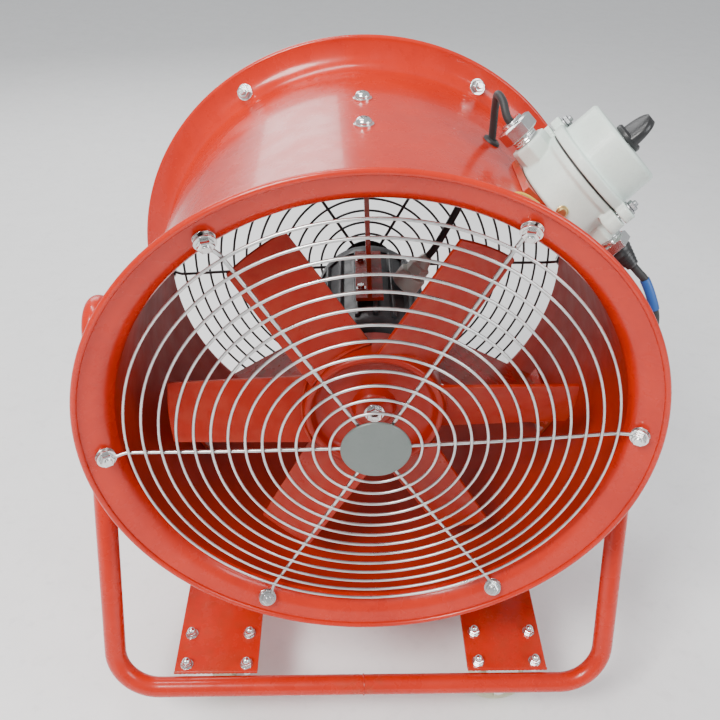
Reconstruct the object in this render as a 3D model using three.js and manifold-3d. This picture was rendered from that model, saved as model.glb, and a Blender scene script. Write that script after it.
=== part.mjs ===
// Portable axial exhaust fan: a short steel duct with wire guards, an axial impeller on a
// bracket-held motor, a cast switch box on the duct, and a tubular A-frame stand on casters.
// Units are millimetres, +Z is up, +Y is the way the air flows, the floor is Z = 0, and the
// origin lies on the floor under the middle of the duct.

import * as THREE from 'three';
import { mergeVertices } from 'three/addons/utils/BufferGeometryUtils.js';
import Module from 'manifold-3d';

const wasm = await Module();
wasm.setup();

// ---------------------------------------------------------------- driving dimensions
const DEG = Math.PI / 180;
const GAP = 0.3;                       // clearance between pieces that touch

const AXIS_HEIGHT = 480;               // fan axis above the floor
const DUCT_TURN = -3.8 * DEG;          // how far the duct sits turned in its stand
const BORE = 251;                      // duct bore radius
const SHEET = 2.5;                     // duct wall
const DUCT_HALF = 188;                 // half of the duct's overall length
const BEAD = 3.2;                      // rolled bead radius at each lip
const LIP = 286.3;                     // outermost radius of each lip
const FLARE = 26;                      // radius of the flare's curve
const FLARE_TURN = 70 * DEG;           // angle that the flare turns through
const DUCT_SEGMENTS = 36;

const GUARD_BOLT_TURN = 60 * DEG;      // where the guard bolts sit on the flare's curve
const GUARD_SETBACK = 11;              // outer guard ring behind the lip plane
const GUARD_DOME = 6.5;                // how far the guard's middle stands forward
const RING_COUNT = 7;                  // every second ring of the wire guard's thirteen
const RING_FIRST = 45.3;
const RING_PITCH = 32.6;
const RING_WIRE = 1.8;                 // half width of a ring's wire
const SPOKE_WIRE = 2;
const SPOKE_COUNT = 6;
const SPOKE_START = 30 * DEG;
const GUARD_DISC = 35;

const BLADE_COUNT = 6;
const BLADE_REST = 1 * DEG;            // how far the impeller stands turned at rest
const BLADE_TIP = 212;
const BLADE_PITCH = 18 * DEG;
const BLADE_THICKNESS = 4;
const BLADE_ROOT_CHORD = 74;
const BLADE_TIP_CHORD = 66;
const BLADE_Y = -119;                  // middle plane of the blades
const HUB = 73;
const HUB_FRONT = -132;
const HUB_BACK = -87;

const SHAFT = 9.5;
const MOTOR_FRONT = -62;
const MOTOR_BACK = 123;
const SHIELD_DEPTH = 21;
const FRAME_BORE = 58.3;               // motor housing
const FRAME_VALLEY = 62;
const FRAME_RIB = 67;
const RIB_COUNT = 20;
const BRACKET_FRONT = -18;
const BRACKET_BACK = 87;
const BRACKET_WIDTH = 30;

const BOX_ANGLE = 42 * DEG;            // switch box, clockwise from the top
const BOX_Y = -27;
const BOX_SEAT = 256.6;                // top of the mounting plate, from the fan axis
const BOX_PARTING = 300;
const BOX_TOP = 345;
const BOX_RADIUS = 46.5;
const EAR_ANGLE = -50 * DEG;
const EAR_REACH = 55.5;
const CONDUIT_ANGLE = -15 * DEG;
const CONDUIT_HEIGHT = 277;
const CONDUIT_REACH = 62;
const CONDUIT_BORE = 9;

const TUBE = 12.5;                     // stand tube radius
const STAND_HALF_WIDTH = 304;          // tube centre lines
const STAND_HALF_DEPTH = 202;
const BAR_HEIGHT = 95;
const LEG_SLOPE = 0.44;                // how far a leg leans in for each millimetre up
const CORNER_BEND = 52;
const APEX_BEND = 25;

const DECK_X = 185;                    // middle of each base plate
const DECK_HALF_WIDTH = 51.5;
const DECK_BOTTOM = 103;
const DECK_THICKNESS = 5;
const CASTER_Y = 157;
const WHEEL = 37.5;
const WHEEL_HALF = 13;
const CASTER_TRAIL = 30;
const AXLE = 4.9;

const LEAD = 4;                        // motor lead radius
const CORD = 4.25;                     // supply cord radius
const COIL_MEAN = 11 * CORD;           // mean radius of the coiled cord
const COIL_X = 70;
const COIL_Y = 44;
const COIL_LAYERS = 3;

// ---------------------------------------------------------------- finishes
function finish(color, roughness, metalness) {
  return new THREE.MeshStandardMaterial({ color, roughness, metalness });
}

const PAINT = () => finish(0xe15032, 0.28, 0.0);
const ZINC = () => finish(0xc4c8ca, 0.3, 0.9);
const BLACK_WIRE = () => finish(0x151515, 0.45, 0.2);
const DARK_CAST = () => finish(0x32373a, 0.5, 0.3);
const PALE_CAST = () => finish(0xc8d7cd, 0.5, 0.1);
const BLACK_PLASTIC = () => finish(0x121212, 0.35, 0.0);
const RUBBER = () => finish(0x101010, 0.75, 0.0);
const CREAM = () => finish(0xc8c8aa, 0.5, 0.0);
const STEEL = () => finish(0x9a9c9e, 0.35, 0.85);
const BRASS = () => finish(0xb49a4a, 0.35, 0.85);

// ---------------------------------------------------------------- geometry helpers
const vec = (x, y, z) => new THREE.Vector3(x, y, z);

// A three.js geometry as one solid, with its faces pointing out.
function toSolid(geometry) {
  const bare = geometry.clone();
  bare.deleteAttribute('normal');
  bare.deleteAttribute('uv');
  const welded = mergeVertices(bare, 1e-3);
  const place = welded.getAttribute('position');
  const index = welded.getIndex().array;
  const corner = (i) => vec().fromBufferAttribute(place, i);
  const triangles = [];
  let volume = 0;
  for (let i = 0; i < index.length; i += 3) {
    const [a, b, c] = [index[i], index[i + 1], index[i + 2]];
    if (a === b || b === c || c === a) continue;
    triangles.push([a, b, c]);
    volume += corner(a).dot(corner(b).cross(corner(c)));
  }
  const facingOut = volume > 0 ? triangles : triangles.map(([a, b, c]) => [a, c, b]);
  return new wasm.Manifold(new wasm.Mesh({
    numProp: 3,
    vertProperties: new Float32Array(place.array),
    triVerts: new Uint32Array(facingOut.flat()),
  }));
}

function toGeometry(solid) {
  const mesh = solid.getMesh();
  const geometry = new THREE.BufferGeometry();
  geometry.setAttribute('position', new THREE.BufferAttribute(mesh.vertProperties, 3));
  geometry.setIndex(new THREE.BufferAttribute(mesh.triVerts, 1));
  geometry.computeVertexNormals();
  return geometry;
}

// Joins the first list of geometries and cuts the second list away.
function build(joined, cut = []) {
  let solid = joined.map(toSolid).reduce((whole, next) => whole.add(next));
  for (const tool of cut) solid = solid.subtract(toSolid(tool));
  return toGeometry(solid);
}

// A profile of [radius, height] points turned about the Y axis.
function lathe(profile, segments) {
  return new THREE.LatheGeometry(profile.map(([r, y]) => new THREE.Vector2(r, y)), segments);
}

// The same with a hole through the middle: the profile closes on itself.
function ring(profile, segments) {
  return lathe([...profile, profile[0]], segments);
}

const aboutZ = (geometry) => geometry.rotateX(90 * DEG);
const aboutX = (geometry) => geometry.rotateZ(-90 * DEG);

function rod(radius, from, to, segments) {
  const along = to.clone().sub(from);
  const geometry = new THREE.CylinderGeometry(radius, radius, along.length(), segments);
  const turn = new THREE.Quaternion().setFromUnitVectors(vec(0, 1, 0), along.normalize());
  const middle = from.clone().add(to).multiplyScalar(0.5);
  return geometry.applyQuaternion(turn).translate(middle.x, middle.y, middle.z);
}

function block([x0, x1], [y0, y1], [z0, z1]) {
  return new THREE.BoxGeometry(x1 - x0, y1 - y0, z1 - z0)
    .translate((x0 + x1) / 2, (y0 + y1) / 2, (z0 + z1) / 2);
}

function prism(outline, depth, hole = null) {
  const shape = new THREE.Shape(outline.map(([x, y]) => new THREE.Vector2(x, y)));
  if (hole) shape.holes.push(new THREE.Path(hole.map(([x, y]) => new THREE.Vector2(x, y))));
  return new THREE.ExtrudeGeometry(shape, { depth, bevelEnabled: false });
}

function circle(radius, count, start = 0) {
  return Array.from({ length: count }, (_, i) => {
    const angle = start + (2 * Math.PI * i) / count;
    return [radius * Math.cos(angle), radius * Math.sin(angle)];
  });
}

// A path with one step from each point to the next, so a bend keeps just its own points.
class StepPath extends THREE.Curve {
  constructor(points) {
    super();
    this.points = points;
  }

  getPoint(t, target = vec()) {
    const last = this.points.length - 1;
    const step = Math.min(Math.floor(t * last + 1e-9), last - 1);
    return target.lerpVectors(this.points[step], this.points[step + 1], t * last - step);
  }

  getPointAt(u, target) {
    return this.getPoint(u, target);
  }

  getTangentAt(u, target = vec()) {
    const last = this.points.length - 1;
    const here = Math.round(u * last);
    target.set(0, 0, 0);
    for (const step of [here - 1, here]) {
      if (step < 0 || step >= last) continue;
      target.add(this.points[step + 1].clone().sub(this.points[step]).normalize());
    }
    return target.normalize();
  }
}

function tube(points, radius, sides) {
  const section = new THREE.Shape(circle(radius, sides).map(([x, y]) => new THREE.Vector2(x, y)));
  return new THREE.ExtrudeGeometry(section, {
    steps: points.length - 1,
    extrudePath: new StepPath(points),
    bevelEnabled: false,
  });
}

// Corner points with each inner corner rounded by an arc of its own radius.
function rounded(corners, radii, steps) {
  const points = [corners[0]];
  radii.forEach((radius, i) => {
    const corner = corners[i + 1];
    const back = corners[i].clone().sub(corner).normalize();
    const ahead = corners[i + 2].clone().sub(corner).normalize();
    const half = back.angleTo(ahead) / 2;
    const middle = back.clone().add(ahead).normalize();
    const centre = corner.clone().addScaledVector(middle, radius / Math.sin(half));
    const first = corner.clone().addScaledVector(back, radius / Math.tan(half)).sub(centre);
    const last = corner.clone().addScaledVector(ahead, radius / Math.tan(half)).sub(centre);
    const sweep = first.angleTo(last);
    const axis = first.clone().cross(last).normalize();
    for (let s = 0; s <= steps; s += 1) {
      points.push(first.clone().applyAxisAngle(axis, (sweep * s) / steps).add(centre));
    }
  });
  points.push(corners[corners.length - 1]);
  return points;
}

// ---------------------------------------------------------------- the assembly
const part = new THREE.Group();

const fan = new THREE.Group();         // everything that turns with the duct in its stand
fan.position.z = AXIS_HEIGHT;
fan.rotation.y = DUCT_TURN;
part.add(fan);

function add(parent, name, geometry, material) {
  const mesh = new THREE.Mesh(geometry, material);
  mesh.name = name;
  parent.add(mesh);
  return mesh;
}

// A place on or near the duct: clockwise angle from the top, radius and distance along it.
function around(degrees, radius, y) {
  return vec(radius * Math.sin(degrees * DEG), y, radius * Math.cos(degrees * DEG));
}

// ---------------------------------------------------------------- switch box directions
const box = new THREE.Group();         // local Z points out of the duct, local X runs around it
box.position.z = AXIS_HEIGHT;
box.position.y = BOX_Y;
box.rotation.y = BOX_ANGLE;
part.add(box);

function boxPoint(angle, reach, height) {
  return vec(reach * Math.cos(angle), reach * Math.sin(angle), height);
}

// The same point in the frame of the whole part.
function boxToPart(point) {
  return point.clone().applyAxisAngle(vec(0, 1, 0), BOX_ANGLE).add(box.position);
}

const LEAD_ANGLE = CONDUIT_ANGLE + 180 * DEG;
const GLAND_START = CONDUIT_REACH + GAP;
const LEAD_GLAND_END = 87;
const SUPPLY_GLAND_END = 104;

// ---------------------------------------------------------------- motor lead route
const LEAD_HOLE = { angle: 25, y: 69 };
const GLAND_ANGLE = 33;
const GLAND_Y = 36;
const GLAND_TOP = 112;

function leadRoute() {
  const out = (reach) => boxToPart(boxPoint(LEAD_ANGLE, reach, CONDUIT_HEIGHT));
  const near = (degrees, radius, y) => around(degrees, radius, y).add(vec(0, 0, AXIS_HEIGHT));
  const { angle, y } = LEAD_HOLE;
  const knots = [
    out(LEAD_GLAND_END - 10),
    out(LEAD_GLAND_END + 4),
    near(angle - 2.4, 300, y - 56),
    near(angle - 3.4, 304, y - 33),
    near(angle - 2.6, 296, y - 12),
    near(angle - 0.8, 276, y - 1),
    near(angle, BORE + SHEET, y),
    near(angle + 0.5, 225, y - 2),
    near(GLAND_ANGLE - 1, 170, GLAND_Y + 14),
    near(GLAND_ANGLE, GLAND_TOP + 14, GLAND_Y + 1),
    near(GLAND_ANGLE, GLAND_TOP + GAP, GLAND_Y),
  ];
  return new THREE.CatmullRomCurve3(knots, false, 'centripetal').getSpacedPoints(26);
}

const leadPoints = leadRoute();

// ---------------------------------------------------------------- duct
function flarePoint(turn, offset) {
  return [
    BORE + FLARE - (FLARE - offset) * Math.cos(turn),
    FLARE_FOOT + (FLARE - offset) * Math.sin(turn),
  ];
}

const CONE_RUN = (LIP - BEAD - BORE - FLARE * (1 - Math.cos(FLARE_TURN))) / Math.sin(FLARE_TURN);
const FLARE_FOOT = DUCT_HALF - BEAD - FLARE * Math.sin(FLARE_TURN) - CONE_RUN * Math.cos(FLARE_TURN);

function ductShell() {
  const steps = 4;
  const turns = Array.from({ length: steps + 1 }, (_, i) => (FLARE_TURN * i) / steps);
  const bead = [];
  const wrap = 360 * DEG - Math.asin(SHEET / BEAD);
  for (let i = 0; i <= 5; i += 1) {
    const angle = 270 * DEG - FLARE_TURN - (wrap * i) / 5;
    bead.push([LIP - BEAD + BEAD * Math.cos(angle), DUCT_HALF - BEAD + BEAD * Math.sin(angle)]);
  }
  const inner = turns.map((turn) => flarePoint(turn, 0));
  const outer = turns.map((turn) => flarePoint(turn, SHEET)).reverse();
  const rear = [...inner, ...bead, ...outer];
  const front = [...rear].reverse().map(([r, y]) => [r, -y]);
  const shell = ring([...rear, ...front], DUCT_SEGMENTS);
  const hole = LEAD_HOLE.angle - DUCT_TURN / DEG;
  const from = around(hole, BORE - 15, LEAD_HOLE.y);
  const to = around(hole, BORE + 15, LEAD_HOLE.y);
  return build([shell], [rod(LEAD + 3, from, to, 12)]);
}

add(fan, 'duct_shell', ductShell(), PAINT());

// ---------------------------------------------------------------- wire guards
const SPOKE_DROP = 3;                  // spoke centre line behind the ring centre line
const EYELET = 8.5;
const EYELET_HOLE = 4.4;
const EYELET_LIFT = 0.5;
const EYELET_THICKNESS = 4;

function guardY(radius) {
  const outermost = RING_FIRST + RING_PITCH * (RING_COUNT - 1);
  return -DUCT_HALF + GUARD_SETBACK - GUARD_DOME * (1 - (radius / outermost) ** 2);
}

function guardRing(radius) {
  const y = guardY(radius);
  return ring([
    [radius - RING_WIRE, y + RING_WIRE],
    [radius, y - RING_WIRE],
    [radius + RING_WIRE, y + RING_WIRE],
  ], 18);
}

// Points of one spoke in the plane of the axis, and the eyelet that it ends in.
function guardSpoke(angle) {
  const [seatRadius, seatDepth] = flarePoint(GUARD_BOLT_TURN, 0);
  const normal = vec(-Math.cos(GUARD_BOLT_TURN), -Math.sin(GUARD_BOLT_TURN), 0);
  const seat = vec(seatRadius, -seatDepth, 0);
  const inward = vec(-Math.sin(GUARD_BOLT_TURN), Math.cos(GUARD_BOLT_TURN), 0);
  const low = seat.clone().addScaledVector(normal, EYELET_LIFT);
  const high = low.clone().addScaledVector(normal, EYELET_THICKNESS);
  const end = low.clone().lerp(high, 0.5).addScaledVector(inward, (EYELET + EYELET_HOLE) / 2);
  const outermost = RING_FIRST + RING_PITCH * (RING_COUNT - 1);
  const line = [0, outermost / 2, outermost].map((r) => vec(r, guardY(r) + SPOKE_DROP, 0));
  line.push(end);
  const eyelet = rod(EYELET, low, high, 8);
  const hole = rod(EYELET_HOLE, low.addScaledVector(normal, -1), high.addScaledVector(normal, 1), 6);
  const place = (geometry) => geometry.rotateY(angle - 90 * DEG);
  return { wires: [tube(line, SPOKE_WIRE, 4), eyelet].map(place), hole: place(hole) };
}

function guard() {
  const disc = lathe([
    [0, guardY(0) - RING_WIRE - 1],
    [GUARD_DISC, guardY(0) - RING_WIRE - 1],
    [GUARD_DISC, guardY(0) + 1.2],
    [8, guardY(0) + 1.8],
    [8, guardY(0) + SPOKE_DROP + SPOKE_WIRE + 0.5],
    [0, guardY(0) + SPOKE_DROP + SPOKE_WIRE + 0.5],
  ], 18);
  const joined = [disc];
  const cut = [];
  for (let k = 0; k < RING_COUNT; k += 1) joined.push(guardRing(RING_FIRST + RING_PITCH * k));
  for (let k = 0; k < SPOKE_COUNT; k += 1) {
    const spoke = guardSpoke(SPOKE_START + (360 * DEG * k) / SPOKE_COUNT);
    joined.push(...spoke.wires);
    cut.push(spoke.hole);
  }
  return build(joined, cut);
}

add(fan, 'front_guard', guard(), ZINC());
add(fan, 'rear_guard', guard().rotateZ(180 * DEG), BLACK_WIRE());

// ---------------------------------------------------------------- impeller
const impeller = new THREE.Group();
impeller.rotation.y = BLADE_REST;
fan.add(impeller);

function hub() {
  const bore = SHAFT + GAP;
  return build([ring([
    [bore, HUB_FRONT + 6], [20, HUB_FRONT + 6], [24, HUB_FRONT + 17], [58, HUB_FRONT + 13],
    [64, HUB_FRONT + 3], [67, HUB_FRONT], [71, HUB_FRONT], [HUB, HUB_FRONT + 3],
    [HUB, HUB_BACK], [66, HUB_BACK], [66, HUB_BACK - 22], [24, HUB_BACK - 22],
    [20, HUB_BACK - 4], [bore, HUB_BACK - 4],
  ], 24)]);
}

function blade() {
  const outline = [
    [-BLADE_ROOT_CHORD / 2, HUB - 14], [BLADE_ROOT_CHORD / 2, HUB - 14],
    [BLADE_TIP_CHORD / 2, BLADE_TIP - 10], [BLADE_TIP_CHORD / 2 - 3, BLADE_TIP - 5],
    [BLADE_TIP_CHORD / 2 - 8, BLADE_TIP + 5], [8 - BLADE_TIP_CHORD / 2, BLADE_TIP + 5],
    [3 - BLADE_TIP_CHORD / 2, BLADE_TIP - 5], [-BLADE_TIP_CHORD / 2, BLADE_TIP - 10],
  ];
  const plate = prism(outline, BLADE_THICKNESS)
    .translate(0, 0, -BLADE_THICKNESS / 2)
    .rotateX(90 * DEG)
    .rotateZ(BLADE_PITCH)
    .translate(0, BLADE_Y, 0);
  const reach = 40;
  const swept = ring([
    [HUB + GAP, BLADE_Y - reach], [BLADE_TIP, BLADE_Y - reach],
    [BLADE_TIP, BLADE_Y + reach], [HUB + GAP, BLADE_Y + reach],
  ], 96);
  return toGeometry(toSolid(plate).intersect(toSolid(swept)));
}

add(impeller, 'impeller_hub', hub(), PAINT());
for (let k = 0; k < BLADE_COUNT; k += 1) {
  const mesh = add(impeller, `blade_${k + 1}`, blade(), PAINT());
  mesh.rotation.y = SPOKE_START + (360 * DEG * k) / BLADE_COUNT;
}

const SHAFT_NOSE = HUB_FRONT + 10;
const BEARING_WIDTH = 12;
const FRONT_BEARING = MOTOR_FRONT + 13;
const REAR_BEARING = MOTOR_BACK - 27;
const CORE_FRONT = -20;
const CORE_BACK = 70;
const CORE = 38;
const CORE_BORE = 39.6;

// Shaft with the core on it, and a tapped hole in its nose for the hub bolt.
function rotor() {
  return build([lathe([
    [0, SHAFT_NOSE + 24], [5.4, SHAFT_NOSE + 24], [5.4, SHAFT_NOSE], [SHAFT, SHAFT_NOSE],
    [SHAFT, CORE_FRONT - 10], [16, CORE_FRONT - 6], [16, CORE_FRONT], [CORE, CORE_FRONT],
    [CORE, CORE_BACK], [16, CORE_BACK], [16, CORE_BACK + 6], [SHAFT, CORE_BACK + 10],
    [SHAFT, REAR_BEARING + 14], [0, REAR_BEARING + 14],
  ], 16)]);
}

function hubBolt() {
  const face = HUB_FRONT + 6 - GAP;
  return build([
    lathe([[0, face - 2], [11, face - 2], [11, face], [5, face], [5, SHAFT_NOSE + 20],
      [0, SHAFT_NOSE + 20]], 16),
    rod(9, vec(0, face - 9, 0), vec(0, face - 1, 0), 6),
  ]);
}

add(impeller, 'rotor', rotor(), STEEL());
add(impeller, 'hub_bolt', hubBolt(), ZINC());

// ---------------------------------------------------------------- motor
const HOUSING_FRONT = MOTOR_FRONT + SHIELD_DEPTH + GAP;
const HOUSING_BACK = MOTOR_BACK - SHIELD_DEPTH - GAP;

function motorHousing() {
  const outline = [];
  const pitch = (360 * DEG) / RIB_COUNT;
  const levels = [[0.15, FRAME_RIB], [0.45, FRAME_RIB], [0.55, FRAME_VALLEY], [1.05, FRAME_VALLEY]];
  for (let k = 0; k < RIB_COUNT; k += 1) {
    for (const [step, radius] of levels) {
      const angle = pitch * (k + step);
      outline.push([radius * Math.cos(angle), radius * Math.sin(angle)]);
    }
  }
  const length = HOUSING_BACK - HOUSING_FRONT;
  return build([prism(outline, length, circle(FRAME_BORE, 32)).rotateX(-90 * DEG)
    .translate(0, HOUSING_FRONT, 0)]);
}

// Half section of an end shield, measured inwards from its outer face.
function shieldProfile(shaftHole) {
  const seat = 20.3;
  return [
    [shaftHole, 0], [56, 0], [64, 5], [64, SHIELD_DEPTH], [FRAME_BORE, SHIELD_DEPTH],
    [FRAME_BORE, 8], [24.5, 8], [24.5, 25.5], [seat, 25.5], [seat, 12], [shaftHole, 12],
  ];
}

function frontShield() {
  return build([ring(shieldProfile(SHAFT + 1).map(([r, y]) => [r, MOTOR_FRONT + y]), 24)]);
}

function rearShield() {
  return build([lathe(shieldProfile(0).map(([r, y]) => [r, MOTOR_BACK - y]), 24)]);
}

function bearing(front) {
  const inner = SHAFT + GAP;
  return build([ring([[inner, front], [20, front], [20, front + BEARING_WIDTH],
    [inner, front + BEARING_WIDTH]], 16)]);
}

function statorCore() {
  return build([ring([
    [CORE_BORE, CORE_FRONT], [42, CORE_FRONT - 12], [54, CORE_FRONT - 12], [54, CORE_FRONT],
    [FRAME_BORE - 0.8, CORE_FRONT], [FRAME_BORE - 0.8, CORE_BACK], [54, CORE_BACK],
    [54, CORE_BACK + 12], [42, CORE_BACK + 12], [CORE_BORE, CORE_BACK],
  ], 16)]);
}

add(fan, 'motor_housing', motorHousing(), DARK_CAST());
add(fan, 'front_end_shield', frontShield(), DARK_CAST());
add(fan, 'rear_end_shield', rearShield(), DARK_CAST());
add(fan, 'stator_core', statorCore(), STEEL());
add(fan, 'front_bearing', bearing(FRONT_BEARING), STEEL());
add(fan, 'rear_bearing', bearing(REAR_BEARING), STEEL());

// Pressed bracket from the motor's ribs to the duct wall: a foot, a web and a wall flange.
function motorBracket() {
  const foot = FRAME_RIB + GAP + 0.1;
  const wall = BORE - 1.6;
  const half = BRACKET_WIDTH / 2;
  const web = 2.5;
  const outline = [
    [-half, foot], [half, foot], [half, foot + 4], [web, foot + 4], [web, wall - 4],
    [half, wall - 4], [half, wall], [-half, wall], [-half, wall - 4], [-web, wall - 4],
    [-web, foot + 4], [-half, foot + 4],
  ];
  return build([prism(outline, BRACKET_BACK - BRACKET_FRONT).rotateX(90 * DEG)
    .translate(0, BRACKET_BACK, 0)]);
}

[['top', 0], ['right', 120], ['left', 240]].forEach(([side, degrees]) => {
  add(fan, `motor_bracket_${side}`, motorBracket(), PAINT()).rotation.y = degrees * DEG;
});

// Gland on the motor, standing on its ribs, with a blind hole that the lead ends against.
function motorGland() {
  return build([
    rod(16, vec(0, 0, FRAME_RIB + GAP), vec(0, 0, FRAME_RIB + 20), 16),
    rod(13, vec(0, 0, FRAME_RIB + 19), vec(0, 0, FRAME_RIB + 34), 6),
    rod(8, vec(0, 0, FRAME_RIB + 33), vec(0, 0, GLAND_TOP), 12),
  ]);
}

const motorGlandMesh = add(fan, 'motor_gland', motorGland(), PALE_CAST());
motorGlandMesh.rotation.y = GLAND_ANGLE * DEG - DUCT_TURN;
motorGlandMesh.position.y = GLAND_Y;

add(part, 'motor_lead', build([tube(leadPoints, LEAD, 8)]), RUBBER());

// ---------------------------------------------------------------- switch box
const BOX_FLOOR = BOX_SEAT + GAP;
const BOX_WALL = 4.5;
const BODY_TOP = BOX_PARTING - 1.4;
const GASKET = 1.5;
const COVER_BOTTOM = BODY_TOP + GASKET + 2 * GAP;
const FLANGE_TOP = 311;
const COVER_RADIUS = 44.5;
const COVER_FLANGE = 51.5;
const BOLT_HOLE = 3.5;
const SPINDLE = 4;

function upright(radius, [x, y], [z0, z1], segments) {
  return rod(radius, vec(x, y, z0), vec(x, y, z1), segments);
}

function earPlaces() {
  return [0, 180].map((turn) => {
    const place = boxPoint(EAR_ANGLE + turn * DEG, EAR_REACH, 0);
    return [place.x, place.y];
  });
}

function mountPlate() {
  const under = 254;
  const plate = block([-46, 46], [-34, 34], [under - 8, BOX_SEAT]);
  return build([plate], [rod(under, vec(0, -50, 0), vec(0, 50, 0), 120)]);
}

function boxBody() {
  const conduit = (radius, from, to) => [CONDUIT_ANGLE, LEAD_ANGLE].map((angle) => rod(
    radius, boxPoint(angle, from, CONDUIT_HEIGHT), boxPoint(angle, to, CONDUIT_HEIGHT), 12));
  const joined = [upright(BOX_RADIUS, [0, 0], [BOX_FLOOR, BODY_TOP], 24), ...conduit(15, 30, CONDUIT_REACH)];
  const cut = [upright(BOX_RADIUS - BOX_WALL, [0, 0], [BOX_FLOOR + 4, BODY_TOP + 1], 20)];
  cut.push(...conduit(CONDUIT_BORE, 25, CONDUIT_REACH + 1));
  for (const place of earPlaces()) {
    joined.push(upright(10, place, [284, BODY_TOP], 12));
    cut.push(upright(BOLT_HOLE, place, [283, BODY_TOP + 1], 10));
  }
  return build(joined, cut);
}

function boxCover() {
  const joined = [
    upright(COVER_FLANGE, [0, 0], [COVER_BOTTOM, FLANGE_TOP], 24),
    aboutZ(lathe([[0, BOX_TOP], [COVER_RADIUS - 3, BOX_TOP], [COVER_RADIUS, BOX_TOP - 3],
      [COVER_RADIUS, FLANGE_TOP - 1], [0, FLANGE_TOP - 1]], 24)),
  ];
  const cut = [
    upright(COVER_RADIUS - 4, [0, 0], [COVER_BOTTOM - 1, BOX_TOP - 5], 20),
    upright(SPINDLE + 0.5, [0, 0], [BOX_TOP - 10, BOX_TOP + 1], 10),
  ];
  for (const place of earPlaces()) {
    joined.push(upright(10, place, [COVER_BOTTOM, FLANGE_TOP], 12));
    cut.push(upright(BOLT_HOLE, place, [COVER_BOTTOM - 1, FLANGE_TOP + 1], 10));
  }
  return build(joined, cut);
}

function coverGasket() {
  return build([aboutZ(ring([
    [BOX_RADIUS - BOX_WALL, BODY_TOP + GAP], [BOX_RADIUS - 0.2, BODY_TOP + GAP],
    [BOX_RADIUS - 0.2, BODY_TOP + GAP + GASKET], [BOX_RADIUS - BOX_WALL, BODY_TOP + GAP + GASKET],
  ], 24))]);
}

function coverBolt(place) {
  return build([
    upright(3, place, [286, FLANGE_TOP + 3], 8),
    upright(6.5, place, [FLANGE_TOP + GAP, FLANGE_TOP + GAP + 5.5], 6),
  ]);
}

// Round foot with a tall wing grip, bored from below for the spindle.
function selectorKnob() {
  const foot = BOX_TOP + 0.6;
  return build([
    aboutZ(lathe([[0, foot], [15, foot], [15, foot + 7], [12, foot + 9], [0, foot + 9]], 14)),
    block([-6, 6], [-14, 14], [foot + 4, foot + 28]),
    aboutX(lathe([[0, -6], [14, -6], [14, 6], [0, 6]], 14)).translate(0, 0, foot + 18),
  ], [upright(SPINDLE + GAP, [0, 0], [foot - 1, foot + 20], 12)]);
}

function selectorSpindle() {
  return build([upright(SPINDLE, [0, 0], [312.3, BOX_TOP + 18], 10)]);
}

// A gland along a conduit boss: a collar, a hexagon nut and a bored end or rubber cone.
function gland(end, nutFrom, nutTo, nut, boreRadius, tip) {
  const profile = [
    [boreRadius, nutFrom - 2], [12, nutFrom - 2], [12, nutTo],
    [tip + 4, nutTo], [tip, end], [boreRadius, end],
  ];
  const collar = ring([[boreRadius, GLAND_START], [12, GLAND_START], [12, nutFrom],
    [boreRadius, nutFrom]], 12);
  const bore = rod(boreRadius, vec(0, nutFrom - 1, 0), vec(0, nutTo + 1, 0), 12);
  return build([collar, ring(profile, 12), rod(nut, vec(0, nutFrom, 0), vec(0, nutTo, 0), 6)], [bore])
    .rotateZ(-90 * DEG);
}

add(box, 'box_mount_plate', mountPlate(), PAINT());
add(box, 'switch_box_body', boxBody(), PALE_CAST());
add(box, 'switch_box_cover', boxCover(), PALE_CAST());
add(box, 'cover_gasket', coverGasket(), RUBBER());
earPlaces().forEach((place, i) => add(box, `cover_bolt_${i + 1}`, coverBolt(place), ZINC()));
add(box, 'selector_knob', selectorKnob(), BLACK_PLASTIC());
add(box, 'selector_spindle', selectorSpindle(), STEEL());
add(box, 'switch_block', block([-22, 22], [-22, 22], [BOX_FLOOR + 4.3, 312]), BLACK_PLASTIC());

const leadGland = add(box, 'motor_lead_gland', gland(LEAD_GLAND_END, 69, 84, 17, LEAD + 0.7, 10),
  ZINC());
leadGland.rotation.z = LEAD_ANGLE;
leadGland.position.z = CONDUIT_HEIGHT;

const supplyGland = add(box, 'supply_gland', gland(SUPPLY_GLAND_END, 68, 80, 15, CORD + 0.7, 6.5),
  BLACK_PLASTIC());
supplyGland.rotation.z = CONDUIT_ANGLE;
supplyGland.position.z = CONDUIT_HEIGHT;

function earthScrew() {
  const wall = BOX_RADIUS + GAP;
  return build([
    rod(5.5, vec(0, -wall - 2, 0), vec(0, -wall, 0), 12),
    rod(4, vec(0, -wall - 5, 0), vec(0, -wall - 1, 0), 8),
  ]);
}

const earth = add(box, 'earth_screw', earthScrew(), BRASS());
earth.position.z = 265;
earth.rotation.z = -12 * DEG;

// ---------------------------------------------------------------- stand
function frameTube(side) {
  const apexHeight = BAR_HEIGHT + STAND_HALF_DEPTH / LEG_SLOPE;
  const corners = [
    vec(side * GAP / 2, -STAND_HALF_DEPTH, BAR_HEIGHT),
    vec(side * STAND_HALF_WIDTH, -STAND_HALF_DEPTH, BAR_HEIGHT),
    vec(side * STAND_HALF_WIDTH, 0, apexHeight),
    vec(side * STAND_HALF_WIDTH, STAND_HALF_DEPTH, BAR_HEIGHT),
    vec(side * GAP / 2, STAND_HALF_DEPTH, BAR_HEIGHT),
  ];
  return build([tube(rounded(corners, [CORNER_BEND, APEX_BEND, CORNER_BEND], 5), TUBE, 10)]);
}

function basePlate(side) {
  const end = STAND_HALF_DEPTH - TUBE - GAP;
  return build([block(
    [side * DECK_X - DECK_HALF_WIDTH, side * DECK_X + DECK_HALF_WIDTH],
    [-end, end],
    [DECK_BOTTOM, DECK_BOTTOM + DECK_THICKNESS],
  )]);
}

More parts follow.
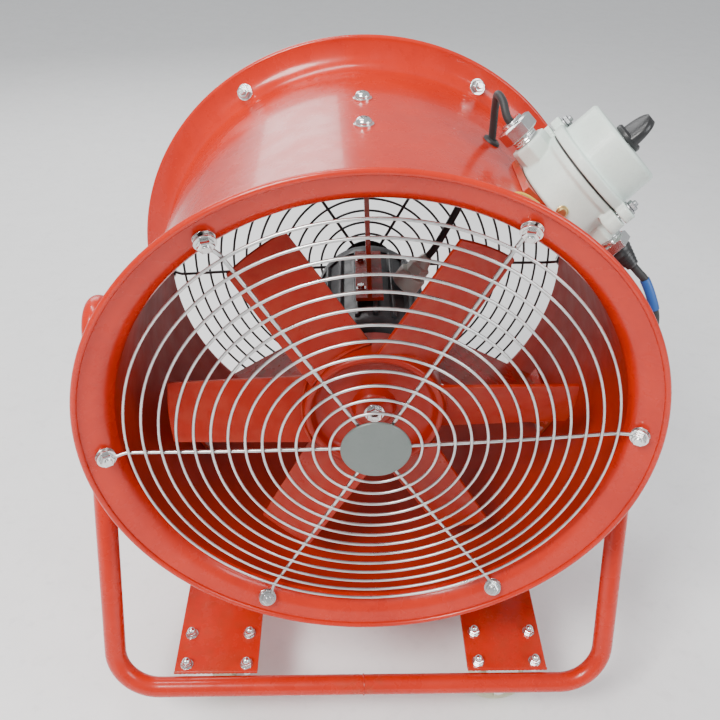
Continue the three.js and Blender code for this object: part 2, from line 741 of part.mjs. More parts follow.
// Lug that joins the duct's side to the top of the A-frame.
function sideLug(side) {
  const wall = BORE + SHEET;
  const outer = STAND_HALF_WIDTH - TUBE - GAP;
  const span = (a, b) => (side > 0 ? [a, b] : [-b, -a]);
  const pad = block(span(wall - 8, wall + 5), [-40, 40], [-34, 34]);
  const arm = block(span(wall - 2, outer), [-38, 38], [8, 14]);
  const seat = rod(wall + 0.5, vec(0, -60, 0), vec(0, 60, 0), 120);
  return build([pad, arm], [seat]).translate(0, 0, AXIS_HEIGHT);
}

for (const [name, side] of [['left', -1], ['right', 1]]) {
  add(part, `frame_tube_${name}`, frameTube(side), PAINT());
  add(part, `base_plate_${name}`, basePlate(side), PAINT());
  add(part, `side_lug_${name}`, sideLug(side), PAINT());
}

// ---------------------------------------------------------------- casters
// Each caster is drawn with its axle along Y and its wheel rolling along X, its top plate
// against the base plate.
const PLATE_TOP = DECK_BOTTOM - GAP;
const PLATE_HALF = [46, 30];
const FORK_IN = 16;
const FORK_OUT = 18.5;

function casterWheel() {
  const half = [[AXLE + 0.4, 13.5], [12, 13.5], [15, 10], [29, 10], [33, 12.5], [WHEEL, 9]];
  const profile = [...half, ...half.map(([r, y]) => [r, -y]).reverse()];
  return build([ring(profile, 20)]);
}

function casterAxle() {
  const end = FORK_OUT + GAP;
  return build([lathe([[0, -end - 5.5], [8, -end - 5.5], [8, -end], [AXLE, -end], [AXLE, end],
    [8, end], [8, end + 5.5], [0, end + 5.5]], 8)]);
}

// Two cheeks from a top height down to the axle, which lies offset along X.
function cheeks(top, topHalf, offset) {
  const eye = 12;
  const outline = [[-topHalf, top], [topHalf, top], [offset + eye, 0], [offset + 8, -9],
    [offset, -eye], [offset - 8, -9], [offset - eye, 0]];
  const hole = circle(AXLE + 0.6, 8).map(([x, z]) => [x + offset, z]);
  return [-FORK_OUT, FORK_IN].map((y) => prism(outline, FORK_OUT - FORK_IN, hole)
    .rotateX(90 * DEG).translate(0, y + FORK_OUT - FORK_IN, WHEEL));
}

function rigidFork() {
  const plate = block([-PLATE_HALF[0], PLATE_HALF[0]], [-PLATE_HALF[1], PLATE_HALF[1]],
    [PLATE_TOP - 3, PLATE_TOP]);
  return build([plate, ...cheeks(PLATE_TOP - WHEEL - 2, 26, 0)]);
}

function swivelPlate() {
  const plate = block([-PLATE_HALF[0], PLATE_HALF[0]], [-PLATE_HALF[1], PLATE_HALF[1]],
    [PLATE_TOP - 2.7, PLATE_TOP]);
  const race = aboutZ(lathe([[0, 86], [9, 86], [9, 91], [5, 91], [5, 96.6], [27, 96.6],
    [27, PLATE_TOP - 2], [0, PLATE_TOP - 2]], 14));
  return build([plate, race]);
}

function swivelFork() {
  const top = [91.4, 96.2];
  const disc = aboutZ(ring([[5.6, top[0]], [25, top[0]], [25, top[1]], [5.6, top[1]]], 14));
  return build([disc, ...cheeks(top[1] - WHEEL - 1, 18, CASTER_TRAIL)]);
}

// The left pair swivels and trails towards the duct's middle; the right pair is rigid.
for (const [row, y] of [['front', -CASTER_Y], ['rear', CASTER_Y]]) {
  const swivel = new THREE.Group();
  swivel.position.set(-DECK_X, y, 0);
  part.add(swivel);
  add(swivel, `swivel_plate_${row}`, swivelPlate(), ZINC());
  const leg = new THREE.Group();
  leg.rotation.z = y < 0 ? 90 * DEG : -90 * DEG;
  swivel.add(leg);
  add(leg, `swivel_fork_${row}`, swivelFork(), ZINC());
  for (const [kind, geometry, material] of [['wheel', casterWheel(), CREAM()],
    ['axle', casterAxle(), ZINC()]]) {
    add(leg, `swivel_${kind}_${row}`, geometry, material).position.set(CASTER_TRAIL, 0, WHEEL);
  }

  const rigid = new THREE.Group();
  rigid.position.set(DECK_X, y, 0);
  part.add(rigid);
  add(rigid, `rigid_fork_${row}`, rigidFork(), ZINC());
  add(rigid, `rigid_wheel_${row}`, casterWheel(), CREAM()).position.z = WHEEL;
  add(rigid, `rigid_axle_${row}`, casterAxle(), ZINC()).position.z = WHEEL;
}

// ---------------------------------------------------------------- supply cord
// Straight out of the gland, down inside the A-frame, then along the floor to the coil.
const COIL_HALF = COIL_LAYERS * CORD;
const COIL_FACE = Math.sqrt((COIL_MEAN + COIL_HALF) ** 2 - (COIL_MEAN - CORD) ** 2) + GAP;

function cordRoute() {
  const out = (reach) => boxToPart(boxPoint(CONDUIT_ANGLE, reach, CONDUIT_HEIGHT));
  const row = COIL_Y + COIL_MEAN;
  return [
    out(SUPPLY_GLAND_END + GAP),
    out(SUPPLY_GLAND_END + 10),
    out(SUPPLY_GLAND_END + 20),
    vec(290, -68, 576),
    vec(295.5, -68, 558),
    vec(295, -67, 535),
    vec(290, -64, 507),
    vec(284, -60, 470),
    vec(279, -54, 425),
    vec(276, -46, 375),
    vec(275, -36, 320),
    vec(274, -24, 265),
    vec(272, -10, 210),
    vec(269, 6, 160),
    vec(265, 24, 112),
    vec(259, 42, 72),
    vec(248, 59, 40),
    vec(231, 74, 18),
    vec(208, 85, 7),
    vec(180, row - 1, CORD + 0.2),
    vec(150, row, CORD + 0.1),
    vec(COIL_X + COIL_FACE, row, CORD + 0.1),
  ];
}

function powerCord() {
  const curve = new THREE.CatmullRomCurve3(cordRoute(), false, 'centripetal');
  return build([tube(curve.getSpacedPoints(38), CORD, 8)]);
}

function powerCoil() {
  const low = 0.1;
  const high = low + 2 * COIL_HALF;
  const chamfer = 5;
  return build([aboutZ(ring([
    [COIL_MEAN - COIL_HALF, low + chamfer], [COIL_MEAN - COIL_HALF + chamfer, low],
    [COIL_MEAN + COIL_HALF - chamfer, low], [COIL_MEAN + COIL_HALF, low + chamfer],
    [COIL_MEAN + COIL_HALF, high - chamfer], [COIL_MEAN + COIL_HALF - chamfer, high],
    [COIL_MEAN - COIL_HALF + chamfer, high], [COIL_MEAN - COIL_HALF, high - chamfer],
  ], 20))]).translate(COIL_X, COIL_Y, 0);
}

// Round three-pin plug lying beside the coil, its cord entry facing the coil.
function powerPlug() {
  const body = lathe([[0, 0], [6, 0], [10, 22], [17, 30], [19, 40], [19, 66], [22.5, 68],
    [22.5, 76], [0, 76]], 16);
  const pins = [90, 210, 330].map((degrees) => {
    const [z, x] = [9 * Math.sin(degrees * DEG), 9 * Math.cos(degrees * DEG)];
    return rod(2.6, vec(x, 74, z), vec(x, 95, z), 8);
  });
  return build([body, ...pins]).rotateZ(-90 * DEG)
    .translate(COIL_X + COIL_FACE, COIL_Y - COIL_MEAN, 23);
}

add(part, 'power_cord_tube', powerCord(), RUBBER());
add(part, 'power_cord_coil', powerCoil(), RUBBER());
add(part, 'power_plug', powerPlug(), BLACK_PLASTIC());

export default part;
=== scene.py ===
"""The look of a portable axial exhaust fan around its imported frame. Metres, +Z up."""
import math
import random

import bmesh
import bpy
from mathutils import Matrix, Vector


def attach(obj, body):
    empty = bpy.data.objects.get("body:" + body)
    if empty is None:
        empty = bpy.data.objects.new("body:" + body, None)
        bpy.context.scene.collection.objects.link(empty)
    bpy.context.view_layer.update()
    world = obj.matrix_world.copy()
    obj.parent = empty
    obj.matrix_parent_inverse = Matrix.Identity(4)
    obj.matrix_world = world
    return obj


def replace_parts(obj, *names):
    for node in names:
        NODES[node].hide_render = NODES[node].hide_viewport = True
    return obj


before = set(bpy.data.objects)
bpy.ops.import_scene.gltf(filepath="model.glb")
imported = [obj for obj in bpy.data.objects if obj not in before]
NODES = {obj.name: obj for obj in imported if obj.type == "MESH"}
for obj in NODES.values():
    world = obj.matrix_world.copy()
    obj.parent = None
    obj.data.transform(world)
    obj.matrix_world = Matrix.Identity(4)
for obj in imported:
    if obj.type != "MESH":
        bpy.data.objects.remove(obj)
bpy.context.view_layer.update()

MM = 0.001
DEG = math.pi / 180
random.seed(7)

# ---------------------------------------------------------------- sizes shared with the frame, mm
AXIS_HEIGHT = 480
DUCT_TURN = -3.8 * DEG
BORE, SHEET, DUCT_HALF, BEAD, LIP = 251, 2.5, 188, 3.2, 286.3
FLARE, FLARE_TURN = 26, 70 * DEG
CONE_RUN = (LIP - BEAD - BORE - FLARE * (1 - math.cos(FLARE_TURN))) / math.sin(FLARE_TURN)
FLARE_FOOT = DUCT_HALF - BEAD - FLARE * math.sin(FLARE_TURN) - CONE_RUN * math.cos(FLARE_TURN)
GUARD_BOLT_TURN = 60 * DEG
RING_COUNT, RING_FIRST, RING_PITCH = 13, 45.3, 16.3
RING_WIRE, SPOKE_WIRE, SPOKE_DROP = 1.5, 1.9, 3.1
GUARD_SETBACK, GUARD_DOME, GUARD_DISC = 11, 6.5, 35
HUB, HUB_FRONT, HUB_BACK = 73, -132, -87
BLADE_REST, BLADE_TIP, BLADE_PITCH, BLADE_Y = 1 * DEG, 212, 18 * DEG, -119
MOTOR_FRONT, MOTOR_BACK, SHIELD_DEPTH = -62, 123, 21
BOX_ANGLE, BOX_Y = 42 * DEG, -27
BOX_FLOOR, BODY_TOP, COVER_BOTTOM, FLANGE_TOP, BOX_TOP = 256.9, 298.6, 300.7, 311, 345
EAR_ANGLE, EAR_REACH = -50 * DEG, 55.5
CONDUIT_ANGLE, CONDUIT_HEIGHT = -15 * DEG, 277
LEAD_ANGLE = CONDUIT_ANGLE + math.pi
TUBE, STAND_X, STAND_Y, BAR_HEIGHT, LEG_SLOPE = 12.5, 304, 202, 95, 0.44
CORNER_BEND, APEX_BEND = 52, 25
DECK_X, DECK_HALF, DECK_BOTTOM, DECK_TOP = 185, 51.5, 103, 108
CASTER_Y, WHEEL, TRAIL, AXLE_HOLE = 157, 37.5, 30, 5.3
LEAD, CORD = 4.0, 4.25
LEAD_ENTRY_ANGLE, LEAD_ENTRY_Y = 27, 38         # degrees and mm, where the lead enters the duct
RELIEF_END, PLUG_HEIGHT = 104.3, 23
BRACKET_ANGLES = (0, 120, 240)
COIL_MEAN, COIL_X, COIL_Y, COIL_LAYERS = 11 * CORD, 70, 44, 3
COIL_FACE = math.sqrt((COIL_MEAN + COIL_LAYERS * CORD) ** 2 - (COIL_MEAN - CORD) ** 2) + 0.3

UP_FRAME = Matrix.Translation((0, 0, AXIS_HEIGHT * MM))
FAN = UP_FRAME @ Matrix.Rotation(DUCT_TURN, 4, "Y")
IMPELLER = FAN @ Matrix.Rotation(BLADE_REST, 4, "Y")
BOX = UP_FRAME @ Matrix.Translation((0, BOX_Y * MM, 0)) @ Matrix.Rotation(BOX_ANGLE, 4, "Y")


# ---------------------------------------------------------------- camera, lights and floor
def set_camera():
    pitch, yaw, roll = 39.15 * DEG, 5.62 * DEG, 4.34 * DEG
    ahead = Vector((math.sin(yaw) * math.cos(pitch), math.cos(yaw) * math.cos(pitch),
                    -math.sin(pitch)))
    level = Vector((math.cos(yaw), -math.sin(yaw), 0))
    over = level.cross(ahead)
    right = math.cos(roll) * level + math.sin(roll) * over
    up = -math.sin(roll) * level + math.cos(roll) * over
    data = bpy.data.cameras.new("camera")
    data.lens, data.sensor_width = 39.69, 36
    data.shift_x, data.shift_y = -0.05, 0.0694
    data.clip_start = 0.02
    camera = bpy.data.objects.new("camera", data)
    turn = Matrix((right, up, -ahead)).transposed().to_4x4()
    camera.matrix_world = Matrix.Translation((-0.0401, -0.7601, 1.0016)) @ turn
    bpy.context.collection.objects.link(camera)
    bpy.context.scene.camera = camera


def area_light(name, place, target, size, power, color=(1, 1, 1)):
    data = bpy.data.lights.new(name, "AREA")
    data.shape = "RECTANGLE"
    data.size, data.size_y = size
    data.energy = power
    data.color = color
    light = bpy.data.objects.new(name, data)
    aim = (Vector(target) - Vector(place)).to_track_quat("-Z", "Y")
    light.matrix_world = Matrix.Translation(place) @ aim.to_matrix().to_4x4()
    bpy.context.collection.objects.link(light)


def set_stage():
    world = bpy.data.worlds.new("studio")
    world.use_nodes = True
    background = world.node_tree.nodes["Background"]
    background.inputs["Color"].default_value = (0.95, 0.97, 1.0, 1)
    background.inputs["Strength"].default_value = 0.62
    bpy.context.scene.world = world
    middle = (0, 0, 0.45)
    area_light("key", (-1.1, -1.3, 2.3), middle, (0.8, 0.8), 84, (1, 0.98, 0.95))
    area_light("fill", (1.7, -1.2, 1.5), middle, (1.0, 1.0), 24, (0.95, 0.98, 1))
    area_light("strip", (-0.55, 0.35, 2.1), middle, (0.22, 0.9), 16)
    area_light("back", (-0.9, 2.1, 1.5), middle, (1.3, 1.0), 20)
    mesh = bpy.data.meshes.new("floor")
    reach = 9
    mesh.from_pydata([(-reach, -reach, -0.0005), (reach, -reach, -0.0005),
                      (reach, reach, -0.0005), (-reach, reach, -0.0005)], [], [(0, 1, 2, 3)])
    floor = bpy.data.objects.new("floor", mesh)
    bpy.context.collection.objects.link(floor)
    floor.data.materials.append(finish("floor_pale", (0.9, 0.9, 0.9), (0.87, 0.87, 0.87), 0.8,
                                       grain=90, bump=0.02))


# ---------------------------------------------------------------- materials
WORN_EDGE = (0.53, 0.6)                # pointiness where wear starts and where it is full
ROUGH_SPREAD = 0.12


def finish(name, color, shade, rough, metal=0.0, coat=0.0, grain=300.0, bump=0.1, wear=None,
           streak=None, patch=14.0, sheen=0.0, gloss=0.5):
    """A material with a blotchy colour, uneven roughness, a fine grain and worn edges."""
    made = bpy.data.materials.new(name)
    made.use_nodes = True
    tree = made.node_tree
    new, link = tree.nodes.new, tree.links.new
    shader = tree.nodes["Principled BSDF"]
    shader.inputs["Metallic"].default_value = metal
    shader.inputs["Coat Weight"].default_value = coat
    shader.inputs["Specular IOR Level"].default_value = gloss
    shader.inputs["Coat Roughness"].default_value = 0.06
    shader.inputs["Sheen Weight"].default_value = sheen
    where = new("ShaderNodeTexCoord").outputs["Object"]
    if streak:
        stretch = new("ShaderNodeMapping")
        stretch.inputs["Scale"].default_value = streak
        link(where, stretch.inputs["Vector"])
        fine_where = stretch.outputs["Vector"]
    else:
        fine_where = where

    def noise(scale, detail, source):
        node = new("ShaderNodeTexNoise")
        node.inputs["Scale"].default_value = scale
        node.inputs["Detail"].default_value = detail
        node.inputs["Roughness"].default_value = 0.6
        link(source, node.inputs["Vector"])
        return node.outputs["Fac"]

    def ramp(source, low, high):
        node = new("ShaderNodeMapRange")
        node.inputs["From Min"].default_value, node.inputs["From Max"].default_value = low
        node.inputs["To Min"].default_value, node.inputs["To Max"].default_value = high
        link(source, node.inputs["Value"])
        return node.outputs["Result"]

    def blend(amount, first, second):
        node = new("ShaderNodeMix")
        node.data_type = "RGBA"
        link(amount, node.inputs[0])
        for socket, value in ((node.inputs[6], first), (node.inputs[7], second)):
            if isinstance(value, tuple):
                socket.default_value = (*value, 1)
            else:
                link(value, socket)
        return node.outputs[2]

    blotch = ramp(noise(patch, 4, where), (0.35, 0.68), (0, 1))
    tone = blend(blotch, color, shade)
    speck = ramp(noise(grain * 0.5, 3, fine_where), (0.55, 0.75), (0, 0.35))
    tone = blend(speck, tone, tuple(0.82 * c for c in shade))
    roughness = ramp(noise(patch * 2.3, 5, where), (0.3, 0.7),
                     (max(rough - ROUGH_SPREAD / 2, 0.02), rough + ROUGH_SPREAD))
    if wear:
        rim = ramp(new("ShaderNodeNewGeometry").outputs["Pointiness"], WORN_EDGE, (0, 1))
        chip = ramp(noise(60, 6, where), (0.42, 0.6), (0, 1))
        both = new("ShaderNodeMath")
        both.operation = "MULTIPLY"
        both.use_clamp = True
        link(rim, both.inputs[0])
        link(chip, both.inputs[1])
        tone = blend(both.outputs[0], tone, wear)
    link(tone, shader.inputs["Base Color"])
    link(roughness, shader.inputs["Roughness"])
    relief = new("ShaderNodeBump")
    relief.inputs["Strength"].default_value = bump
    relief.inputs["Distance"].default_value = 0.0006
    link(noise(grain, 4, fine_where), relief.inputs["Height"])
    link(relief.outputs["Normal"], shader.inputs["Normal"])
    return made


ORANGE, ORANGE_SHADE = (0.52, 0.018, 0.0025), (0.45, 0.014, 0.002)
PAINT = finish("orange_enamel", ORANGE, ORANGE_SHADE, 0.24, coat=0.22, grain=220, bump=0.06,
               wear=(0.30, 0.05, 0.02), gloss=0.3)
# Painted shade: the duct's inside is the same enamel as the outside, drawn a darker, duller red because
# the bore lies in shade.
INSIDE_PAINT_WITH_PAINTED_SHADE = finish("inside_enamel_painted_shade", (0.34, 0.014, 0.003), (0.26, 0.010, 0.002), 0.55,
                      grain=240, bump=0.12, wear=(0.24, 0.04, 0.02), gloss=0.12)
BLADE_PAINT = finish("blade_enamel", (0.34, 0.013, 0.003), (0.28, 0.010, 0.0025), 0.32, coat=0.12,
                     grain=260, bump=0.14, wear=(0.36, 0.06, 0.03), gloss=0.25)
ZINC = finish("zinc_wire", (0.60, 0.61, 0.60), (0.48, 0.50, 0.50), 0.3, metal=1.0, grain=500,
              bump=0.12, wear=(0.88, 0.88, 0.86))
DISC = finish("disc_primer", (0.15, 0.17, 0.16), (0.12, 0.14, 0.13), 0.34, metal=0.25, grain=420,
              bump=0.12, wear=(0.4, 0.42, 0.4))
CHROME = finish("bolt_chrome", (0.80, 0.80, 0.79), (0.66, 0.67, 0.67), 0.16, metal=1.0, grain=600,
                bump=0.08, wear=(0.92, 0.92, 0.9))
BLACK_WIRE = finish("black_coated_wire", (0.012, 0.012, 0.013), (0.022, 0.022, 0.024), 0.38,
                    coat=0.2, grain=500, bump=0.12, wear=(0.08, 0.08, 0.08))
MOTOR_PAINT = finish("motor_grey", (0.035, 0.042, 0.046), (0.022, 0.027, 0.03), 0.42, coat=0.15,
                     grain=380, bump=0.3, wear=(0.13, 0.14, 0.15))
CAST = finish("pale_cast", (0.66, 0.76, 0.70), (0.58, 0.68, 0.62), 0.46, coat=0.12, grain=520,
              bump=0.34, wear=(0.74, 0.78, 0.74), patch=22)
BLACK_PLASTIC = finish("black_plastic", (0.012, 0.012, 0.013), (0.02, 0.02, 0.021), 0.3, grain=700,
                       bump=0.16, wear=(0.06, 0.06, 0.06))
RUBBER = finish("cord_rubber", (0.012, 0.012, 0.012), (0.02, 0.02, 0.021), 0.55, grain=600,
                bump=0.3, sheen=0.1)
CREAM = finish("wheel_nylon", (0.62, 0.60, 0.44), (0.54, 0.52, 0.37), 0.45, grain=300, bump=0.18,
               wear=(0.40, 0.38, 0.30))
STEEL = finish("turned_steel", (0.45, 0.46, 0.47), (0.34, 0.35, 0.36), 0.34, metal=1.0, grain=600,
               bump=0.15, streak=(1, 8, 1))
BRASS = finish("brass_screw", (0.70, 0.52, 0.24), (0.56, 0.40, 0.17), 0.3, metal=1.0, grain=600,
               bump=0.1)
BLUE = finish("blue_sleeve", (0.02, 0.10, 0.36), (0.016, 0.08, 0.28), 0.4, grain=500, bump=0.12)
YELLOW = finish("yellow_wire", (0.80, 0.55, 0.05), (0.66, 0.42, 0.04), 0.4, grain=500, bump=0.12)
TIE = finish("tie_nylon", (0.55, 0.55, 0.52), (0.45, 0.45, 0.42), 0.4, grain=500, bump=0.12)


# ---------------------------------------------------------------- mesh helpers (points in mm)
class Draft:
    """Points and faces being gathered for one piece."""

    def __init__(self):
        self.points = []
        self.faces = []

    def add(self, points, faces, matrix=None):
        start = len(self.points)
        moved = [Vector(p) for p in points]
        if matrix is not None:
            moved = [matrix @ p for p in moved]
        self.points.extend(moved)
        self.faces.extend([tuple(start + i for i in face) for face in faces])
        return self

    def lathe(self, profile, segments, matrix=None, closed=False):
        """[radius, y] points turned about Y. A closed profile joins its end to its start."""
        points, faces, rows = [], [], []
        for radius, y in profile:
            if abs(radius) < 1e-9:
                rows.append([len(points)] * segments)
                points.append((0, y, 0))
                continue
            rows.append(list(range(len(points), len(points) + segments)))
            for s in range(segments):
                angle = 2 * math.pi * s / segments
                points.append((radius * math.sin(angle), y, radius * math.cos(angle)))
        pairs = list(zip(rows, rows[1:])) + ([(rows[-1], rows[0])] if closed else [])
        for low, high in pairs:
            for s in range(segments):
                t = (s + 1) % segments
                face = [low[s], low[t], high[t], high[s]]
                face = list(dict.fromkeys(face))
                if len(face) > 2:
                    faces.append(face)
        return self.add(points, faces, matrix)

    def prism(self, outline, depth, matrix=None):
        """An outline in X, Z made thick along Y, from 0 to depth."""
        count = len(outline)
        points = [(x, y, z) for y in (0, depth) for x, z in outline]
        faces = [tuple(range(count)), tuple(reversed(range(count, 2 * count)))]
        faces += [(i, (i + 1) % count, count + (i + 1) % count, count + i) for i in range(count)]
        return self.add(points, faces, matrix)

    def sweep(self, path, radius, sides, matrix=None, taper=None, closed=False):
        """A round section carried along a path without twisting."""
        path = [Vector(p) for p in path]
        last = len(path) - 1
        points, faces = [], []
        normal = None
        for i, place in enumerate(path):
            before = path[i - 1] if i or closed else path[i]
            after = path[(i + 1) % len(path)] if i < last or closed else path[i]
            along = (after - before).normalized()
            if normal is None:
                side = Vector((0, 0, 1)) if abs(along.z) < 0.9 else Vector((1, 0, 0))
                normal = side.cross(along).normalized()
            normal = (normal - along * normal.dot(along)).normalized()
            other = along.cross(normal)
            width = radius * (taper(i / last) if taper else 1)
            for s in range(sides):
                angle = 2 * math.pi * s / sides
                points.append(place + width * (math.cos(angle) * normal + math.sin(angle) * other))
        steps = last + 1 if closed else last
        for i in range(steps):
            low, high = i * sides, ((i + 1) % (last + 1)) * sides
            for s in range(sides):
                t = (s + 1) % sides
                faces.append((low + s, low + t, high + t, high + s))
        if not closed:
            faces.append(tuple(reversed(range(sides))))
            faces.append(tuple(range(last * sides, (last + 1) * sides)))
        return self.add(points, faces, matrix)

    def hexagon(self, across, low, high, matrix=None, chamfer=0.8):
        """A hexagon nut about Y with chamfered corners at both faces."""
        corner = across / math.sqrt(3)
        inner = across / 2 * 0.97
        points, faces = [], []
        levels = [(inner, low), (corner, low + chamfer), (corner, high - chamfer), (inner, high)]
        for radius, y in levels:
            for s in range(6):
                angle = math.pi / 3 * s
                points.append((radius * math.sin(angle), y, radius * math.cos(angle)))
        for row in range(3):
            for s in range(6):
                t = (s + 1) % 6
                faces.append((row * 6 + s, row * 6 + t, row * 6 + 6 + t, row * 6 + 6 + s))
        faces.append(tuple(reversed(range(6))))
        faces.append(tuple(range(18, 24)))
        return self.add(points, faces, matrix)

    def make(self, name, material, body, frame_matrix=None, bevel=0.0, angle=35.0, remesh=0.0,
             smooth=0):
        """Turns the draft into a finished object that rides on a body."""
        mesh = bpy.data.meshes.new(name)
        mesh.from_pydata([p * MM for p in self.points], [], self.faces)
        if frame_matrix is not None:
            mesh.transform(frame_matrix)
        tidy = bmesh.new()
        tidy.from_mesh(mesh)
        bmesh.ops.remove_doubles(tidy, verts=tidy.verts, dist=1e-6)
        bmesh.ops.recalc_face_normals(tidy, faces=tidy.faces)
        tidy.to_mesh(mesh)
        tidy.free()
        obj = bpy.data.objects.new(name, mesh)
        bpy.context.collection.objects.link(obj)
        mesh.materials.append(material)
        if remesh:
            step = obj.modifiers.new("remesh", "REMESH")
            step.mode = "VOXEL"
            step.voxel_size = remesh * MM
            step.use_smooth_shade = True
            soften = obj.modifiers.new("soften", "SMOOTH")
            soften.iterations = smooth
            soften.factor = 0.5
            apply_modifiers(obj)
        mesh = obj.data
        mesh.polygons.foreach_set("use_smooth", [True] * len(mesh.polygons))
        if not remesh:
            mesh.set_sharp_from_angle(angle=angle * DEG)
        if bevel:
            rounding = obj.modifiers.new("bevel", "BEVEL")
            rounding.width = bevel * MM
            rounding.segments = 2
            rounding.limit_method = "ANGLE"
            rounding.angle_limit = angle * DEG
            rounding.harden_normals = True
        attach(obj, body)
        return obj


def apply_modifiers(obj):
    graph = bpy.context.evaluated_depsgraph_get()
    result = bpy.data.meshes.new_from_object(obj.evaluated_get(graph))
    obj.modifiers.clear()
    obj.data = result


def y_to(direction, place=(0, 0, 0)):
    """A matrix that carries the Y axis to a direction, and the origin to a place, in mm."""
    turn = Vector(direction).to_track_quat("Y", "Z").to_matrix().to_4x4()
    return Matrix.Translation(place) @ turn


def turned(degrees):
    return Matrix.Rotation(degrees * DEG, 4, "Y")


def catmull_rom(knots, steps):
    """Points on a centripetal Catmull-Rom curve through the knots."""
    knots = [Vector(k) for k in knots]
    ends = [2 * knots[0] - knots[1], *knots, 2 * knots[-1] - knots[-2]]
    points = []
    for p0, p1, p2, p3 in zip(ends, ends[1:], ends[2:], ends[3:]):
        t1 = (p1 - p0).length ** 0.5
        t2 = t1 + (p2 - p1).length ** 0.5
        t3 = t2 + (p3 - p2).length ** 0.5
        for s in range(steps):
            t = t1 + (t2 - t1) * s / steps
            a1 = p0.lerp(p1, t / t1)
            a2 = p1.lerp(p2, (t - t1) / (t2 - t1))
            a3 = p2.lerp(p3, (t - t2) / (t3 - t2))
            b1 = a1.lerp(a2, t / t2)
            b2 = a2.lerp(a3, (t - t1) / (t3 - t1))
            points.append(b1.lerp(b2, (t - t1) / (t2 - t1)))
    return points + [knots[-1]]


def curve_piece(name, points, radius, material, body):
    data = bpy.data.curves.new(name, "CURVE")
    data.dimensions = "3D"
    data.bevel_depth = radius * MM
    data.bevel_resolution = 5
    data.use_fill_caps = True
    spline = data.splines.new("POLY")
    spline.points.add(len(points) - 1)
    for target, p in zip(spline.points, points):
        target.co = (*(Vector(p) * MM), 1)
    spline.use_smooth = True
    data.materials.append(material)
    obj = bpy.data.objects.new(name, data)
    bpy.context.collection.objects.link(obj)
    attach(obj, body)
    return obj


def box_point(angle, reach, height):
    return Vector((reach * math.cos(angle), reach * math.sin(angle), height))


def box_to_part(point):
    return (BOX @ (point * MM)) / MM


# ---------------------------------------------------------------- supply cord, coil, ties and plug
def cord_route():
    row = COIL_Y + COIL_MEAN
    out = [box_to_part(box_point(CONDUIT_ANGLE, reach, CONDUIT_HEIGHT))
           for reach in (RELIEF_END, 114, 124)]
    return out + [
        (290, -68, 576), (295.5, -68, 558), (295, -67, 535), (290, -64, 507), (284, -60, 470),
        (279, -54, 425), (276, -46, 375), (275, -36, 320), (274, -24, 265), (272, -10, 210),
        (269, 6, 160), (265, 24, 112), (259, 42, 72), (248, 59, 40), (231, 74, 18), (208, 85, 7),
        (180, row - 1, CORD + 0.2), (150, row, CORD + 0.1),
        (COIL_X + COIL_FACE, row, CORD + 0.1),
    ]


def coil_turns():
    """Turns wound in layers, from the bottom's middle turn to the top's, ending half way round."""
    pitch = 2 * CORD
    stations = [(0, 0), (-1, 0), (-1, 1), (0, 1), (1, 1), (0, 2), (0, 2)]
    steps, change = 36, 0.14
    points = []
    for k in range(6 * steps + steps // 2 + 1):
        turn, part_turn = divmod(k / steps, 1)
        here, following = stations[int(turn)], stations[min(int(turn) + 1, 6)]
        ease = min(max((part_turn - (1 - change)) / change, 0), 1)
        ease = ease * ease * (3 - 2 * ease)
        column = here[0] + (following[0] - here[0]) * ease
        layer = here[1] + (following[1] - here[1]) * ease
        radius = COIL_MEAN + column * pitch
        angle = math.pi / 2 + 2 * math.pi * k / steps
        points.append((COIL_X + radius * math.cos(angle), COIL_Y + radius * math.sin(angle),
                       CORD + 0.1 + layer * (pitch - 0.1)))
    return points


def make_cord():
    top = CORD + 0.1 + 2 * (2 * CORD - 0.1)
    leave = [(COIL_X + 16, COIL_Y - COIL_MEAN, top), (COIL_X + 30, COIL_Y - COIL_MEAN, top + 0.6),
             (COIL_X + COIL_FACE - 0.4, COIL_Y - COIL_MEAN, PLUG_HEIGHT)]
    path = catmull_rom(cord_route(), 8) + coil_turns() + leave
    cord = curve_piece("supply_cord", path, CORD, RUBBER, "stand")
    plug = make_plug()
    ties = [make_tie(40 * DEG), make_tie(215 * DEG)]
    sleeve = Draft().sweep(path[16:25], CORD + 0.9, 24).make("cord_sleeve", BLUE, "stand")
    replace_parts(cord, "power_cord_tube", "power_cord_coil")


def make_plug():
    """A round three-pin plug with a ribbed strain relief and grip flutes."""
    draft = Draft()
    relief = [(0, 0), (5.6, 0)]
    for k in range(5):
        y = 2 + 4 * k
        relief += [(6 + 0.7 * k, y), (6.6 + 0.7 * k, y + 0.6), (6.6 + 0.7 * k, y + 2.4),
                   (6.0 + 0.7 * k, y + 3)]
    body = relief + [(11, 23), (14.5, 26), (17.6, 31), (18.6, 38), (18.6, 62), (19.5, 66),
                     (21.8, 67.5), (22.4, 69), (22.4, 74.5), (21.6, 76), (0, 76)]
    draft.lathe(body, 48)
    for k in range(16):
        place = turned(22.5 * k) @ Matrix.Translation((0, 0, 18.4))
        draft.sweep([(0, 40, 0), (0, 60, 0)], 1.3, 8, place)
    move = Matrix.Translation(Vector((COIL_X + COIL_FACE, COIL_Y - COIL_MEAN, PLUG_HEIGHT)) * MM)
    along = move @ Matrix.Rotation(-90 * DEG, 4, "Z")
    plug = draft.make("plug_body", BLACK_PLASTIC, "stand", along)
    pins = Draft()
    for degrees in (90, 210, 330):
        z, x = 9 * math.sin(degrees * DEG), 9 * math.cos(degrees * DEG)
        pins.lathe([(0, 74), (2.5, 74), (2.5, 93.2), (1.7, 94.6), (0, 94.6)], 20,
                   Matrix.Translation((x, 0, z)))
    pin_piece = pins.make("plug_pins", CHROME, "stand", along)
    pin_piece.parent = plug
    pin_piece.matrix_parent_inverse = plug.matrix_world.inverted()
    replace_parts(plug, "power_plug")
    return plug


